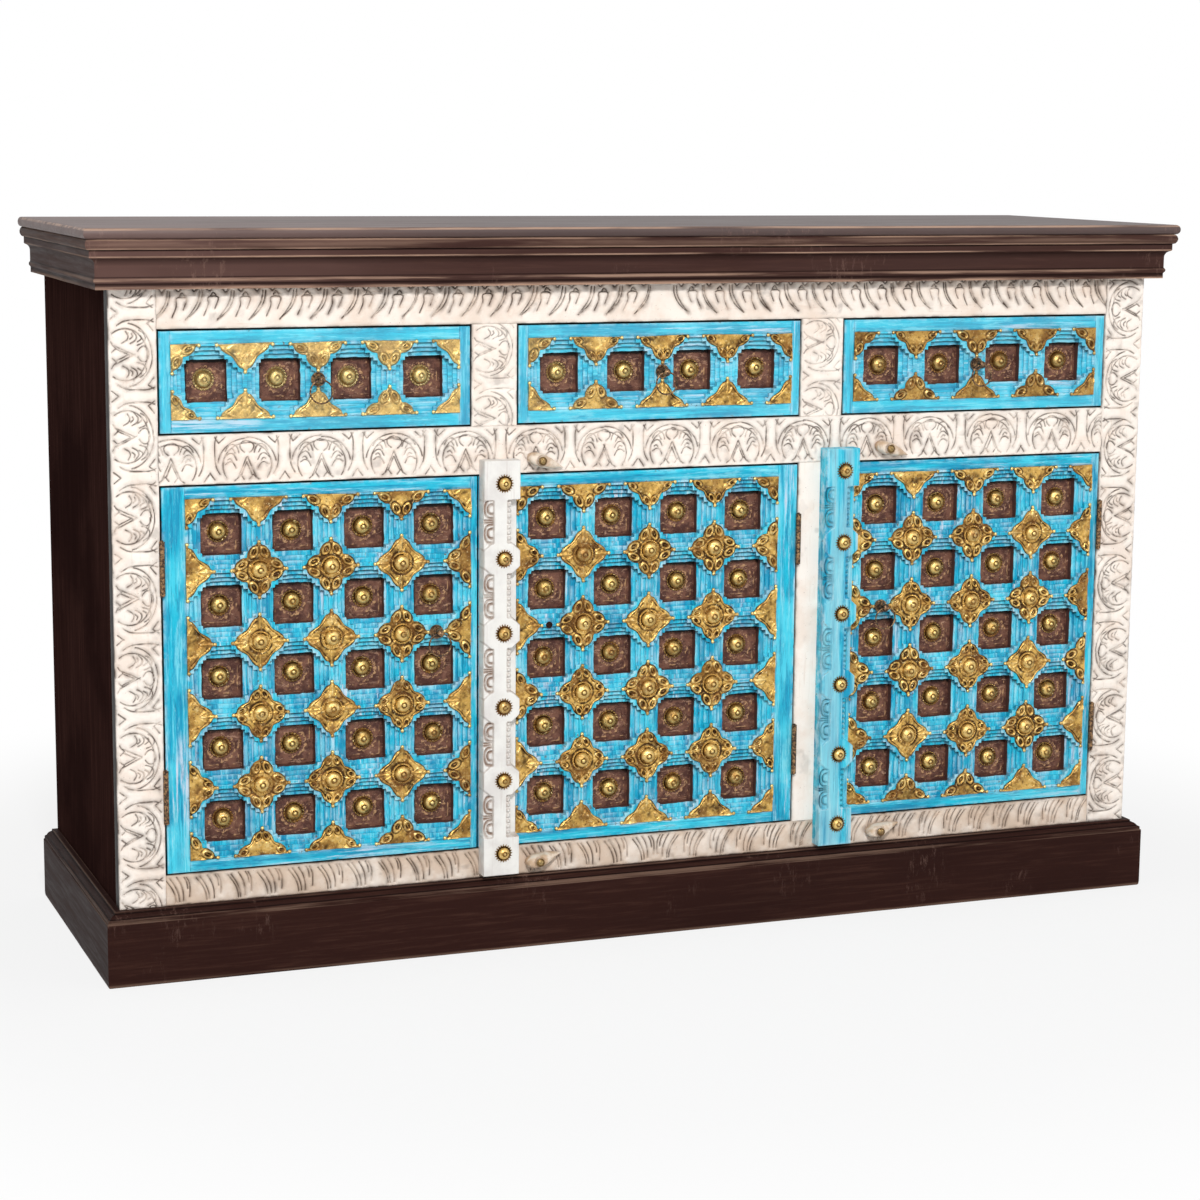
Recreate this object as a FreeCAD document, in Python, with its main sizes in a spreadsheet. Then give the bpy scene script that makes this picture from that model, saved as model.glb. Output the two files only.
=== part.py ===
"""Carved sideboard: three drawers over three latticed doors, on a plinth under a moulded cornice.

Millimetres. +X is the viewer's right, -Y is the front, +Z is up.
The origin is the centre of the footprint, on the floor.
"""

import FreeCAD, Part
import math
import os

from FreeCAD import Vector

# Driving sizes: alias, value, meaning
SIZES = [
    ("body_width", "1452", "over the outer stiles, without mouldings"),
    ("body_depth", "440", "face of the stiles to the back"),
    ("plinth_height", "83", "plinth boards"),
    ("plinth_overhang", "20", "plinth boards stand this far outside the body"),
    ("plinth_cap_height", "12.5", "moulding on top of the plinth boards"),
    ("bottom_rail_show", "38.5", "carved rail seen between plinth cap and doors"),
    ("door_opening_height", "495", "bottom rail to mid rail"),
    ("mid_rail_height", "62", "carved rail between doors and drawers"),
    ("drawer_opening_height", "130.5", "mid rail to top rail"),
    ("top_rail_show", "49.5", "carved rail seen under the cornice"),
    ("cornice_height", "74", "underside of the moulding to the top surface"),
    ("cornice_overhang", "34", "edge of the top outside the body"),
    ("top_thickness", "13", "top board"),
    ("top_nose_radius", "4.5", "rounding of the top board's edges"),
    ("stile_width", "59", "outer carved stiles"),
    ("drawer_stile_width", "61", "uprights between the drawers"),
    ("middle_opening_width", "402", "opening of the middle drawer"),
    ("frame_thickness", "24", "stiles and rails of the face"),
    ("bottom_rail_width", "94", "whole width of the bottom rail, part of it behind the plinth"),
    ("side_thickness", "20", "side panels"),
    ("back_thickness", "10", "back panel"),
    ("board_thickness", "18", "floor, dust board, partition and shelves"),
    ("shelf_setback", "102", "front edge of the shelves behind the doors"),
    ("cleat_width", "20", "square cleats under the shelves"),
    ("door_gap", "2.5", "shadow gap round doors and drawers"),
    ("middle_door_width", "450.5", "middle door, with the edge under its batten"),
    ("lattice_thickness", "20", "pierced board and borders on each door and drawer"),
    ("panel_thickness", "8", "brown board behind the lattice"),
    ("pitch_across", "93", "recess to recess, sideways"),
    ("pitch_up", "92", "recess to recess, upwards"),
    ("drawer_field_height", "93", "lattice field of a drawer"),
    ("left_door_border", "29", "plain border at the hinge side of the left door"),
    ("middle_door_border", "28", "plain border at the hinge side of the middle door"),
    ("right_door_border", "11.5", "plain border at the hinge side of the right door"),
    ("left_door_edge", "9", "least border of the left door beside the middle one"),
    ("door_end_border", "15", "least border above and below a door's lattice"),
    ("drawer_end_border", "12.5", "least border beside a drawer's lattice"),
    ("recess_width", "52.5", "square recess"),
    ("step_reach", "5.7", "each step beyond the side of its recess"),
    ("first_step_width", "44", "length of the lowest step"),
    ("step_narrowing", "12", "each higher step is shorter by this"),
    ("step_depth", "3.2", "each step lies deeper than the next one out"),
    ("plate_span", "74.6", "brass plate, tip to tip"),
    ("plate_thickness", "1.2", "brass plate"),
    ("plate_scallop", "1.6", "depth of the scallops along a plate's sides"),
    ("stud_radius", "10.5", "dome of a recess stud"),
    ("stud_height", "7.5", "dome of a recess stud"),
    ("rosette_radius", "14", "thin disc under a recess stud"),
    ("rosette_thickness", "1", "thin disc under each stud"),
    ("boss_radius", "10", "dome in the middle of a plate"),
    ("boss_height", "7.5", "dome in the middle of a plate"),
    ("boss_rosette_radius", "13.8", "beaded disc round the dome of a plate"),
    ("batten_width", "49", "cover strip on the middle and right doors"),
    ("batten_thickness", "21.5", "cover strip"),
    ("right_batten_bite", "16.5", "right door's batten beyond the edge of its door"),
    ("batten_top_lap", "19.5", "batten above the door opening"),
    ("batten_foot_lap", "32.5", "batten below the door opening"),
    ("batten_stud_inset", "29.75", "end of the batten to its first stud"),
    ("batten_stud_shift", "2.5", "studs right of the batten's middle"),
    ("batten_stud_radius", "8", "dome on a batten"),
    ("batten_stud_height", "5.5", "dome on a batten"),
    ("batten_rosette_radius", "12.5", "toothed disc on a batten"),
    ("batten_edge_radius", "1.5", "rounded front edges of a batten"),
    ("seat_gap", "0.3", "running clearance of flat faces that move past each other"),
    ("hinge_height", "68", "butt hinge"),
    ("hinge_inset", "100", "end of the door to the middle of its hinge"),
    ("hinge_leaf_thickness", "1", "each leaf, let into the gap"),
    ("hinge_leaf_depth", "22", "leaf behind the face"),
    ("hinge_standoff", "4", "pin axis in front of the face"),
    ("knuckle_radius", "3.5", "hinge barrel"),
    ("pin_radius", "1.5", "hinge pin"),
    ("pin_clearance", "0.05", "round a pin or screw, in what turns on it"),
    ("pin_cap_height", "1.5", "end of the hinge pin beyond the barrel"),
    ("pull_base_radius", "9", "plate of a ring pull"),
    ("pull_base_thickness", "2", "plate of a ring pull"),
    ("pull_collar_radius", "7.5", "coned foot of the stalk of a ring pull"),
    ("pull_collar_height", "6", "coned foot of the stalk of a ring pull"),
    ("pull_neck_radius", "3.4", "stalk of a ring pull"),
    ("pull_ball_radius", "5.2", "pierced ball of a ring pull"),
    ("pull_standoff", "17", "middle of the ball in front of the face"),
    ("pull_eye_radius", "2.5", "hole through the ball"),
    ("ring_radius", "14.5", "drop ring, to the middle of its wire"),
    ("ring_wire_radius", "1.1", "wire of the drop ring"),
    ("drawer_back_room", "62", "behind a drawer box, to the back panel"),
    ("drawer_side_height", "104", "sides of a drawer box"),
    ("drawer_side_thickness", "10", "sides and back of a drawer box"),
    ("drawer_bottom_thickness", "5", "bottom of a drawer box"),
    ("drawer_bottom_lift", "5", "underside of the drawer bottom above the edge of the sides"),
    ("guide_height", "20", "strips that guide the drawers sideways"),
    ("kicker_width", "40", "strips that stop a drawer tipping"),
    ("kicker_gap", "2", "kicker above the drawer sides and behind the drawer fronts"),
    ("stop_width", "16", "door stop behind the top of the doors"),
    ("stop_drop", "14", "door stop below the edge of the opening"),
    ("button_reach", "36", "turn button, screw to tip"),
    ("button_head", "16", "turn button, screw to round end"),
    ("button_width", "18", "turn button"),
    ("button_thickness", "17", "turn button at its screw"),
    ("button_tip_thickness", "6", "turn button at its tip"),
    ("button_tip_width", "4", "blunt tip of a turn button"),
    ("button_washer_radius", "6", "round foot of a turn button"),
    ("button_washer_height", "2.7", "round foot of a turn button"),
    ("button_rise", "17", "upper turn buttons above the door opening"),
    ("button_fall", "20", "lower turn buttons below the door opening"),
    ("middle_button_inset", "30", "screws right of the middle door's batten"),
    ("right_button_inset", "46", "screws right of the right door's batten"),
    ("screw_radius", "2.2", "shank of a button's screw"),
    ("screw_head_radius", "4.5", "round head of a button's screw"),
    ("screw_head_height", "2.2", "round head of a button's screw"),
    ("screw_bite", "16", "screw inside the rail"),
    ("overrun", "5", "how far cutting shapes pass the faces they cut"),
]

# Counts and angles
STEPS = 3
BATTEN_STUDS = 6
SCALLOPS_PER_SIDE = 5
KNUCKLES = 3
COUNT_DIGITS = 6  # decimals kept when copies are counted
REST_TILT_TOP = -18.0
REST_TILT_BOTTOM = 12.0

# Cornice profile under the top board: shares of overhang and of moulding height, from the top down
CORNICE_SHARES = {
    "groove": (0.84, 0.0),
    "bead_top": (0.86, 0.035),
    "bead_bulge": (0.93, 0.12),
    "bead_foot": (0.85, 0.2),
    "fillet_top": (0.76, 0.22),
    "fillet_foot": (0.76, 0.34),
    "cove_mid": (0.595, 0.42),
    "cove_foot": (0.54, 0.56),
    "neck_foot": (0.54, 0.77),
    "astragal": (0.585, 0.85),
    "astragal_foot": (0.53, 0.92),
}
# Plinth cap profile: shares of overhang and of cap height, from the bottom up
CAP_SHARES = {
    "edge_foot": (0.92, 0.0),
    "edge_top": (0.9, 0.28),
    "step": (0.8, 0.34),
    "curve_mid": (0.66, 0.62),
    "curve_top": (0.42, 0.74),
    "fillet": (0.4, 0.86),
}

doc = FreeCAD.newDocument("sideboard")
sheet = doc.addObject("Spreadsheet::Sheet", "Sizes")
for row, (alias, value, meaning) in enumerate(SIZES, start=1):
    sheet.set("A%d" % row, alias)
    sheet.set("B%d" % row, value)
    sheet.set("C%d" % row, meaning)
    sheet.setAlias("B%d" % row, alias)
doc.recompute()


class Length:
    """A length that knows its number and the sheet formula behind it."""

    def __init__(self, number, formula):
        self.number = number
        self.formula = formula

    def __add__(self, other):
        other = as_length(other)
        return Length(self.number + other.number, "(%s + %s)" % (self.formula, other.formula))

    def __sub__(self, other):
        other = as_length(other)
        return Length(self.number - other.number, "(%s - %s)" % (self.formula, other.formula))

    def __mul__(self, factor):
        return Length(self.number * factor, "(%s * %r)" % (self.formula, factor))

    def __truediv__(self, divisor):
        return Length(self.number / divisor, "(%s / %r)" % (self.formula, divisor))

    def __neg__(self):
        return self * -1

    def __float__(self):
        return float(self.number)

    __rmul__ = __mul__
    __radd__ = __add__


def as_length(value):
    """Zero may stand in a sum with lengths."""
    return value if isinstance(value, Length) else Length(value, repr(value))


class Sizes:
    """Every alias of the sheet as a length."""

    def __init__(self):
        for alias, _, _ in SIZES:
            setattr(self, alias, Length(float(sheet.get(alias)), "Sizes.%s" % alias))


s = Sizes()
ZERO = as_length(0)

# Levels above the floor
cap_foot = s.plinth_height
cap_top = cap_foot + s.plinth_cap_height
door_low = cap_top + s.bottom_rail_show
door_high = door_low + s.door_opening_height
drawer_low = door_high + s.mid_rail_height
drawer_high = drawer_low + s.drawer_opening_height
cornice_low = drawer_high + s.top_rail_show
top_high = cornice_low + s.cornice_height
top_low = top_high - s.top_thickness

# Planes across the body
half_width = s.body_width / 2
side_inside = half_width - s.side_thickness
opening_edge = half_width - s.stile_width
inner_edge = s.middle_opening_width / 2
outer_edge = inner_edge + s.drawer_stile_width
divider_half = s.board_thickness / 2
divider_middle = inner_edge + s.drawer_stile_width / 2

# Planes from front to back
total_depth = s.body_depth + s.cornice_overhang
back_y = total_depth / 2
face_y = s.cornice_overhang - back_y
frame_back = face_y + s.frame_thickness
inside_back = back_y - s.back_thickness
lattice_back = face_y + s.lattice_thickness
panel_back = lattice_back + s.panel_thickness


def place(obj, corner):
    """Bind an object's position to three lengths."""
    for axis, length in zip("xyz", corner):
        obj.setExpression("Placement.Base.%s" % axis, as_length(length).formula)


def board(label, low, high):
    """A plain board between two corners."""
    box = doc.addObject("Part::Box", label)
    box.Label = label
    for side, start, end in zip(("Length", "Width", "Height"), low, high):
        box.setExpression(side, (as_length(end) - start).formula)
    place(box, low)
    return box


def rod(label, centre, radius, length, direction):
    """A round bar that starts at a point and runs along a direction."""
    bar = doc.addObject("Part::Cylinder", label)
    bar.Label = label
    bar.setExpression("Radius", radius.formula)
    bar.setExpression("Height", length.formula)
    bar.Placement.Rotation = FreeCAD.Rotation(Vector(0, 0, 1), direction)
    place(bar, centre)
    return bar


def group(label, members):
    """Loose pieces that share one node."""
    bundle = doc.addObject("Part::Compound", label)
    bundle.Label = label
    bundle.Links = members
    return bundle


def fuse(label, members):
    joined = doc.addObject("Part::MultiFuse", label)
    joined.Label = label
    joined.Shapes = members
    return joined


def cut(label, base, tool):
    result = doc.addObject("Part::Cut", label)
    result.Label = label
    result.Base = base
    result.Tool = tool
    return result


def shaped(label, shape):
    """A piece whose shape is worked out here from the sheet's values."""
    piece = doc.addObject("Part::Feature", label)
    piece.Label = label
    piece.Shape = shape
    return piece


def block(low, high):
    """A box shape between two corners."""
    corner = Vector(*[float(value) for value in low])
    sizes = [float(end) - float(start) for start, end in zip(low, high)]
    return Part.makeBox(sizes[0], sizes[1], sizes[2], corner)


def arc(start, middle, end):
    return Part.Arc(start, middle, end).toShape()


def line(start, end):
    return Part.LineSegment(start, end).toShape()


NODES = []


def node(obj):
    """Remember an object as one of the named nodes."""
    NODES.append(obj)
    return obj


# Mouldings that wrap the front and both sides

def outward(out, level):
    """A point of a front profile: this far outside the face, at this level."""
    return Vector(0, -float(out), float(level))


def wrapped(label, edges, reach, low, high):
    """Mitred front run and two returns of one profile, as three solids."""
    face = Part.Face(Part.Wire(edges))
    spread = float(half_width + reach)
    depth = float(s.body_depth + reach)
    front = face.copy()
    front.translate(Vector(-spread, float(face_y), 0))
    front = front.extrude(Vector(2 * spread, 0, 0))
    runs = [front.common(plan_prism(front_plan(reach), low, high))]
    for side in (-1, 1):
        profile = face.copy()
        profile.rotate(Vector(0, 0, 0), Vector(0, 0, 1), side * 90)
        profile.translate(Vector(side * float(half_width), float(back_y), 0))
        run = profile.extrude(Vector(0, -depth, 0))
        runs.append(run.common(plan_prism(side_plan(side, reach), low, high)))
    solids = [solid for run in runs for solid in run.Solids]
    return shaped(label, Part.makeCompound(solids))


def front_plan(reach):
    return [(-half_width, face_y), (half_width, face_y),
            (half_width + reach, face_y - reach), (-half_width - reach, face_y - reach)]


def side_plan(side, reach):
    return [(side * half_width, face_y), (side * half_width, back_y),
            (side * (half_width + reach), back_y), (side * (half_width + reach), face_y - reach)]


def plan_prism(plan, low, high):
    """A plan outline raised between two levels."""
    points = [Vector(float(x), float(y), float(low)) for x, y in plan]
    outline = Part.makePolygon(points + points[:1])
    return Part.Face(outline).extrude(Vector(0, 0, float(high - low)))


def cornice_edges():
    """Bead, fillet, cove and astragal, from the top board down."""
    drop = top_low - cornice_low

    def at(name):
        out, down = CORNICE_SHARES[name]
        return outward(s.cornice_overhang * out, top_low - drop * down)

    inner_top = outward(ZERO, top_low)
    inner_foot = outward(ZERO, cornice_low)
    foot_edge = outward(s.cornice_overhang * CORNICE_SHARES["neck_foot"][0], cornice_low)
    return [
        line(inner_top, at("groove")),
        line(at("groove"), at("bead_top")),
        arc(at("bead_top"), at("bead_bulge"), at("bead_foot")),
        line(at("bead_foot"), at("fillet_top")),
        line(at("fillet_top"), at("fillet_foot")),
        arc(at("fillet_foot"), at("cove_mid"), at("cove_foot")),
        line(at("cove_foot"), at("neck_foot")),
        arc(at("neck_foot"), at("astragal"), at("astragal_foot")),
        line(at("astragal_foot"), foot_edge),
        line(foot_edge, inner_foot),
        line(inner_foot, inner_top),
    ]


def cap_edges():
    """Small step, hollow and fillet that die against the face."""
    rise = cap_top - cap_foot

    def at(name):
        out, up = CAP_SHARES[name]
        return outward(s.plinth_overhang * out, cap_foot + rise * up)

    inner_foot = outward(ZERO, cap_foot)
    inner_top = outward(ZERO, cap_top)
    top_edge = outward(s.plinth_overhang * CAP_SHARES["fillet"][0], cap_top)
    return [
        line(inner_foot, at("edge_foot")),
        line(at("edge_foot"), at("edge_top")),
        line(at("edge_top"), at("step")),
        arc(at("step"), at("curve_mid"), at("curve_top")),
        line(at("curve_top"), at("fillet")),
        line(at("fillet"), top_edge),
        line(top_edge, inner_top),
        line(inner_top, inner_foot),
    ]


def plinth_edges():
    corners = [outward(ZERO, ZERO), outward(s.plinth_overhang, ZERO),
               outward(s.plinth_overhang, s.plinth_height), outward(ZERO, s.plinth_height)]
    return [line(a, b) for a, b in zip(corners, corners[1:] + corners[:1])]


def top_board():
    """Top board with a rounded nose at the front and both ends."""
    body = doc.addObject("PartDesign::Body", "top_board")
    body.Label = "top_board"
    slab = body.newObject("PartDesign::AdditiveBox", "top_slab")
    reach = half_width + s.cornice_overhang
    slab.setExpression("Length", (reach * 2).formula)
    slab.setExpression("Width", total_depth.formula)
    slab.setExpression("Height", s.top_thickness.formula)
    place(slab, (-reach, -back_y, top_low))
    doc.recompute()
    names = [name for name, edge in named_edges(slab.Shape) if is_nose_edge(edge)]
    nose = body.newObject("PartDesign::Fillet", "top_nose")
    nose.Base = (slab, names)
    nose.setExpression("Radius", s.top_nose_radius.formula)
    body.Tip = nose
    slab.Visibility = False
    return body


def named_edges(shape):
    return [("Edge%d" % number, edge) for number, edge in enumerate(shape.Edges, start=1)]


def is_nose_edge(edge):
    """Level edges of the front and the two ends, and the two front corners."""
    middle = edge.CenterOfMass
    reach = float(half_width + s.cornice_overhang)
    near = float(s.seat_gap)
    at_front = abs(middle.y + float(back_y)) < near
    at_end = abs(abs(middle.x) - reach) < near
    at_back = abs(middle.y - float(back_y)) < near
    return (at_front or at_end) and not at_back


def carcass():
    node(board("side_panel_left", (-half_width, frame_back, ZERO), (-side_inside, back_y, top_low)))
    node(board("side_panel_right", (side_inside, frame_back, ZERO), (half_width, back_y, top_low)))
    node(board("back_panel", (-side_inside, inside_back, ZERO), (side_inside, back_y, top_low)))
    node(board("bottom_board", (-side_inside, frame_back, door_low - s.board_thickness),
               (side_inside, inside_back, door_low)))
    node(board("dust_board", (-side_inside, frame_back, dust_low), (side_inside, inside_back, drawer_low)))
    node(board("partition", (divider_middle - divider_half, frame_back, door_low),
               (divider_middle + divider_half, inside_back, dust_low)))
    node(board("stile_left", (-half_width, face_y, ZERO), (-opening_edge, frame_back, top_low)))
    node(board("stile_right", (opening_edge, face_y, ZERO), (half_width, frame_back, top_low)))
    node(board("top_rail", (-opening_edge, face_y, drawer_high), (opening_edge, frame_back, top_low)))
    node(board("mid_rail", (-opening_edge, face_y, door_high), (opening_edge, frame_back, drawer_low)))
    node(board("bottom_rail", (-opening_edge, face_y, door_low - s.bottom_rail_width),
               (opening_edge, frame_back, door_low)))
    node(board("door_stile", (inner_edge, face_y, door_low), (outer_edge, frame_back, door_high)))
    node(group("drawer_stiles", [
        board("drawer_stile_left", (-outer_edge, face_y, drawer_low), (-inner_edge, frame_back, drawer_high)),
        board("drawer_stile_right", (inner_edge, face_y, drawer_low), (outer_edge, frame_back, drawer_high)),
    ]))
    node(top_board())
    node(wrapped("cornice", cornice_edges(), s.cornice_overhang, cornice_low, top_low))
    node(wrapped("plinth", plinth_edges(), s.plinth_overhang, ZERO, cap_foot))
    node(wrapped("plinth_cap", cap_edges(), s.plinth_overhang, cap_foot, cap_top))


dust_low = drawer_low - s.board_thickness
shelf_top = (door_low + dust_low) / 2
shelf_low = shelf_top - s.board_thickness
shelf_front = panel_back + s.shelf_setback


def shelves():
    """One shelf behind the pair of doors, one behind the right door, and their cleats."""
    left, right = divider_middle - divider_half, divider_middle + divider_half
    node(group("shelves", [
        board("shelf_wide", (-side_inside, shelf_front, shelf_low), (left, inside_back, shelf_top)),
        board("shelf_narrow", (right, shelf_front, shelf_low), (side_inside, inside_back, shelf_top)),
    ]))
    low = shelf_low - s.cleat_width
    walls = [("wide_left", -side_inside, 1), ("wide_right", left, -1),
             ("narrow_left", right, 1), ("narrow_right", side_inside, -1)]
    cleats = []
    for name, wall, side in walls:
        edge = wall + s.cleat_width * side
        start, end = (wall, edge) if side > 0 else (edge, wall)
        cleats.append(board("cleat_%s" % name, (start, shelf_front, low), (end, inside_back, shelf_low)))
    node(group("shelf_cleats", cleats))
    stops = []
    for name, start, end in (("wide", -side_inside, left), ("narrow", right, side_inside)):
        front = panel_back + s.seat_gap
        stops.append(board("door_stop_%s" % name, (start, front, door_high - s.stop_drop),
                           (end, front + s.stop_width, dust_low)))
    node(group("door_stops", stops))


def drawer_runners():
    """Dividers, side guides on the dust board, and kickers above the drawer sides."""
    pieces = []
    kicker_low = drawer_low + s.seat_gap + s.drawer_side_height + s.kicker_gap
    kicker_high = kicker_low + s.guide_height
    guide_high = drawer_low + s.guide_height
    for side, word in ((-1, "left"), (1, "right")):
        middle = divider_middle * side
        pieces.append(board("divider_%s" % word, (middle - divider_half, frame_back, drawer_low),
                            (middle + divider_half, inside_back, top_low)))
        for start, edge, name in (
            (divider_middle + divider_half, outer_edge, "outer"),
            (divider_middle - divider_half, inner_edge, "inner"),
            (side_inside, opening_edge, "wall"),
        ):
            reach = s.kicker_width if name == "outer" else -s.kicker_width
            for kind, end, front, low, high in (
                ("guide", edge, frame_back, drawer_low, guide_high),
                ("kicker", start + reach, panel_back + s.kicker_gap, kicker_low, kicker_high),
            ):
                xs = sorted((start * side, end * side), key=float)
                pieces.append(board("%s_%s_%s" % (kind, name, word), (xs[0], front, low),
                                    (xs[1], inside_back, high)))
    node(group("drawer_runners", pieces))


# Lattice: square recesses whose sides climb in shortening steps

def recess_cutter(depth):
    """The void of one recess, centred on the origin in X and Z, open at the front."""
    front = face_y - s.overrun
    half = s.recess_width / 2
    void = block((-half, front, -half), (half, face_y + depth, half))
    for step in range(1, STEPS + 1):
        reach = half + s.step_reach * step
        across = (s.first_step_width - s.step_narrowing * (step - 1)) / 2
        floor = face_y + s.step_depth * (STEPS + 1 - step)
        void = void.fuse([block((-reach, front, -across), (reach, floor, across)),
                          block((-across, front, -reach), (across, floor, reach))])
    return void


def copies(room, pitch):
    """How many recesses fit side by side, at least one."""
    return max(1, math.floor(round(float(room) / float(pitch), COUNT_DIGITS)))


class Field:
    """The latticed part of a door or drawer: its edges, counts and recess centres."""

    def __init__(self, left, foot, columns, rows, pitch_z):
        self.left = left
        self.foot = foot
        self.columns = columns
        self.rows = rows
        self.pitch_z = pitch_z
        self.right = left + s.pitch_across * columns
        self.head = foot + pitch_z * rows

    def crossing(self, column, row):
        return self.left + s.pitch_across * column, self.foot + self.pitch_z * row

    def centres(self):
        """Centres of the recesses, row by row from the bottom."""
        return [self.crossing(column + 1 / 2, row + 1 / 2)
                for row in range(self.rows) for column in range(self.columns)]


def moved(shape, x, z):
    copy = shape.copy()
    copy.translate(Vector(float(x), 0, float(z)))
    return copy


def lattice_front(label, low_x, high_x, low_z, high_z, field):
    """Pierced field with four plain border strips round it, as separate solids."""
    left, right, foot, head = field.left, field.right, field.foot, field.head
    board_shape = block((left, face_y, foot), (right, lattice_back, head))
    void = recess_cutter(s.lattice_thickness)
    cutters = [moved(void, x, z) for x, z in field.centres()]
    lattice = board_shape.cut(Part.makeCompound(cutters))
    strips = [
        block((low_x, face_y, low_z), (left, lattice_back, high_z)),
        block((right, face_y, low_z), (high_x, lattice_back, high_z)),
        block((left, face_y, low_z), (right, lattice_back, foot)),
        block((left, face_y, head), (right, lattice_back, high_z)),
    ]
    return node(shaped(label, Part.makeCompound(lattice.Solids + strips)))


# Brass plates and studs

def plate_outline(quadrants):
    """A diamond, half diamond or quarter diamond with scalloped sides, round the origin."""
    half = float(s.plate_span) / 2
    tips = [Vector(half, 0, 0), Vector(0, 0, half), Vector(-half, 0, 0), Vector(0, 0, -half)]
    edges = []
    for start in quadrants:
        first, last = tips[start % 4], tips[(start + 1) % 4]
        outside = (first + last).normalize()
        marks = [first + (last - first) * (k / SCALLOPS_PER_SIDE) for k in range(SCALLOPS_PER_SIDE + 1)]
        for a, b in zip(marks, marks[1:]):
            crest = (a + b) * 0.5 + outside * float(s.plate_scallop)
            edges.append(arc(a, crest, b))
    if len(quadrants) == 2:
        edges.append(line(tips[(quadrants[-1] + 1) % 4], tips[quadrants[0] % 4]))
    if len(quadrants) == 1:
        origin = Vector(0, 0, 0)
        edges.append(line(tips[(quadrants[0] + 1) % 4], origin))
        edges.append(line(origin, tips[quadrants[0] % 4]))
    return Part.Wire(edges)


def plate(quadrants, x, z):
    """One brass plate lying on the face."""
    face = Part.Face(plate_outline(quadrants))
    face.translate(Vector(float(x), float(face_y), float(z)))
    return face.extrude(Vector(0, -float(s.plate_thickness), 0))


def turned(edges, x, y, z):
    """A solid of revolution about the front-to-back axis through a point."""
    solid = Part.Face(Part.Wire(edges)).revolve(Vector(0, 0, 0), Vector(0, 1, 0), 360)
    solid.translate(Vector(float(x), float(y), float(z)))
    return solid


def cap_crown(radius, height, foot):
    """Arc from the rim of a round head to its crown, on a foot this far in front."""
    r, h = float(radius), float(height)
    ball = (r * r + h * h) / (2 * h)
    half_angle = math.asin(r / ball) / 2
    middle = Vector(ball * math.sin(half_angle), foot - h + ball - ball * math.cos(half_angle), 0)
    return arc(Vector(r, foot, 0), middle, Vector(0, foot - h, 0))


def dome(x, z, seat_y, radius, height, disc_radius):
    """Round-headed stud on a thin disc, standing out to the front from its seat."""
    thin = -float(s.rosette_thickness)
    rim, out = float(radius), float(disc_radius)
    crown = Vector(0, thin - float(height), 0)
    edges = [
        line(Vector(0, 0, 0), Vector(out, 0, 0)),
        line(Vector(out, 0, 0), Vector(out, thin, 0)),
        line(Vector(out, thin, 0), Vector(rim, thin, 0)),
        cap_crown(radius, height, thin),
        line(crown, Vector(0, 0, 0)),
    ]
    return turned(edges, x, seat_y, z)


def plates_and_studs(field):
    """Plates on every crossing of the field, whole, half or quarter, and a stud in every recess."""
    pieces = []
    for column in range(field.columns + 1):
        for row in range(field.rows + 1):
            x, z = field.crossing(column, row)
            quadrants = crossing_quadrants(column, row, field.columns, field.rows)
            pieces.append(plate(quadrants, x, z))
            if len(quadrants) == 4:
                pieces.append(dome(x, z, face_y - s.plate_thickness, s.boss_radius, s.boss_height,
                                   s.boss_rosette_radius))
    for x, z in field.centres():
        pieces.append(dome(x, z, lattice_back, s.stud_radius, s.stud_height, s.rosette_radius))
    return pieces


def crossing_quadrants(column, row, columns, rows):
    """Which quarters of a diamond lie inside the field, in order round it from +X to +Z."""
    inside = {0: column < columns and row < rows, 1: column > 0 and row < rows,
              2: column > 0 and row > 0, 3: column < columns and row > 0}
    kept = [quarter for quarter in range(4) if inside[quarter]]
    if kept == [0, 3]:
        kept = [3, 0]
    return kept


def door_field(name, low_x, high_x):
    """As many recesses as fit beside the door's borders, counted from its hinge side."""
    hinge_border, far_border = {
        "left": (s.left_door_border, s.left_door_edge),
        "middle": (s.middle_door_border, s.batten_width),
        "right": (s.right_door_border, s.right_batten_bite),
    }[name]
    columns = copies(high_x - low_x - hinge_border - far_border, s.pitch_across)
    rows = copies(s.door_opening_height - s.door_gap * 2 - s.door_end_border * 2, s.pitch_up)
    left = low_x + hinge_border if name == "left" else high_x - hinge_border - s.pitch_across * columns
    foot = (door_low + door_high - s.pitch_up * rows) / 2
    return Field(left, foot, columns, rows, s.pitch_up)


# Hinges: frame leaf with the pin, door leaf between its knuckles

def hinge_edges():
    """Axis and side of each hinge: x of the jamb, +1 where the door lies to its right."""
    return {"left": (-opening_edge, 1), "middle": (inner_edge, -1), "right": (opening_edge, -1)}


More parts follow.
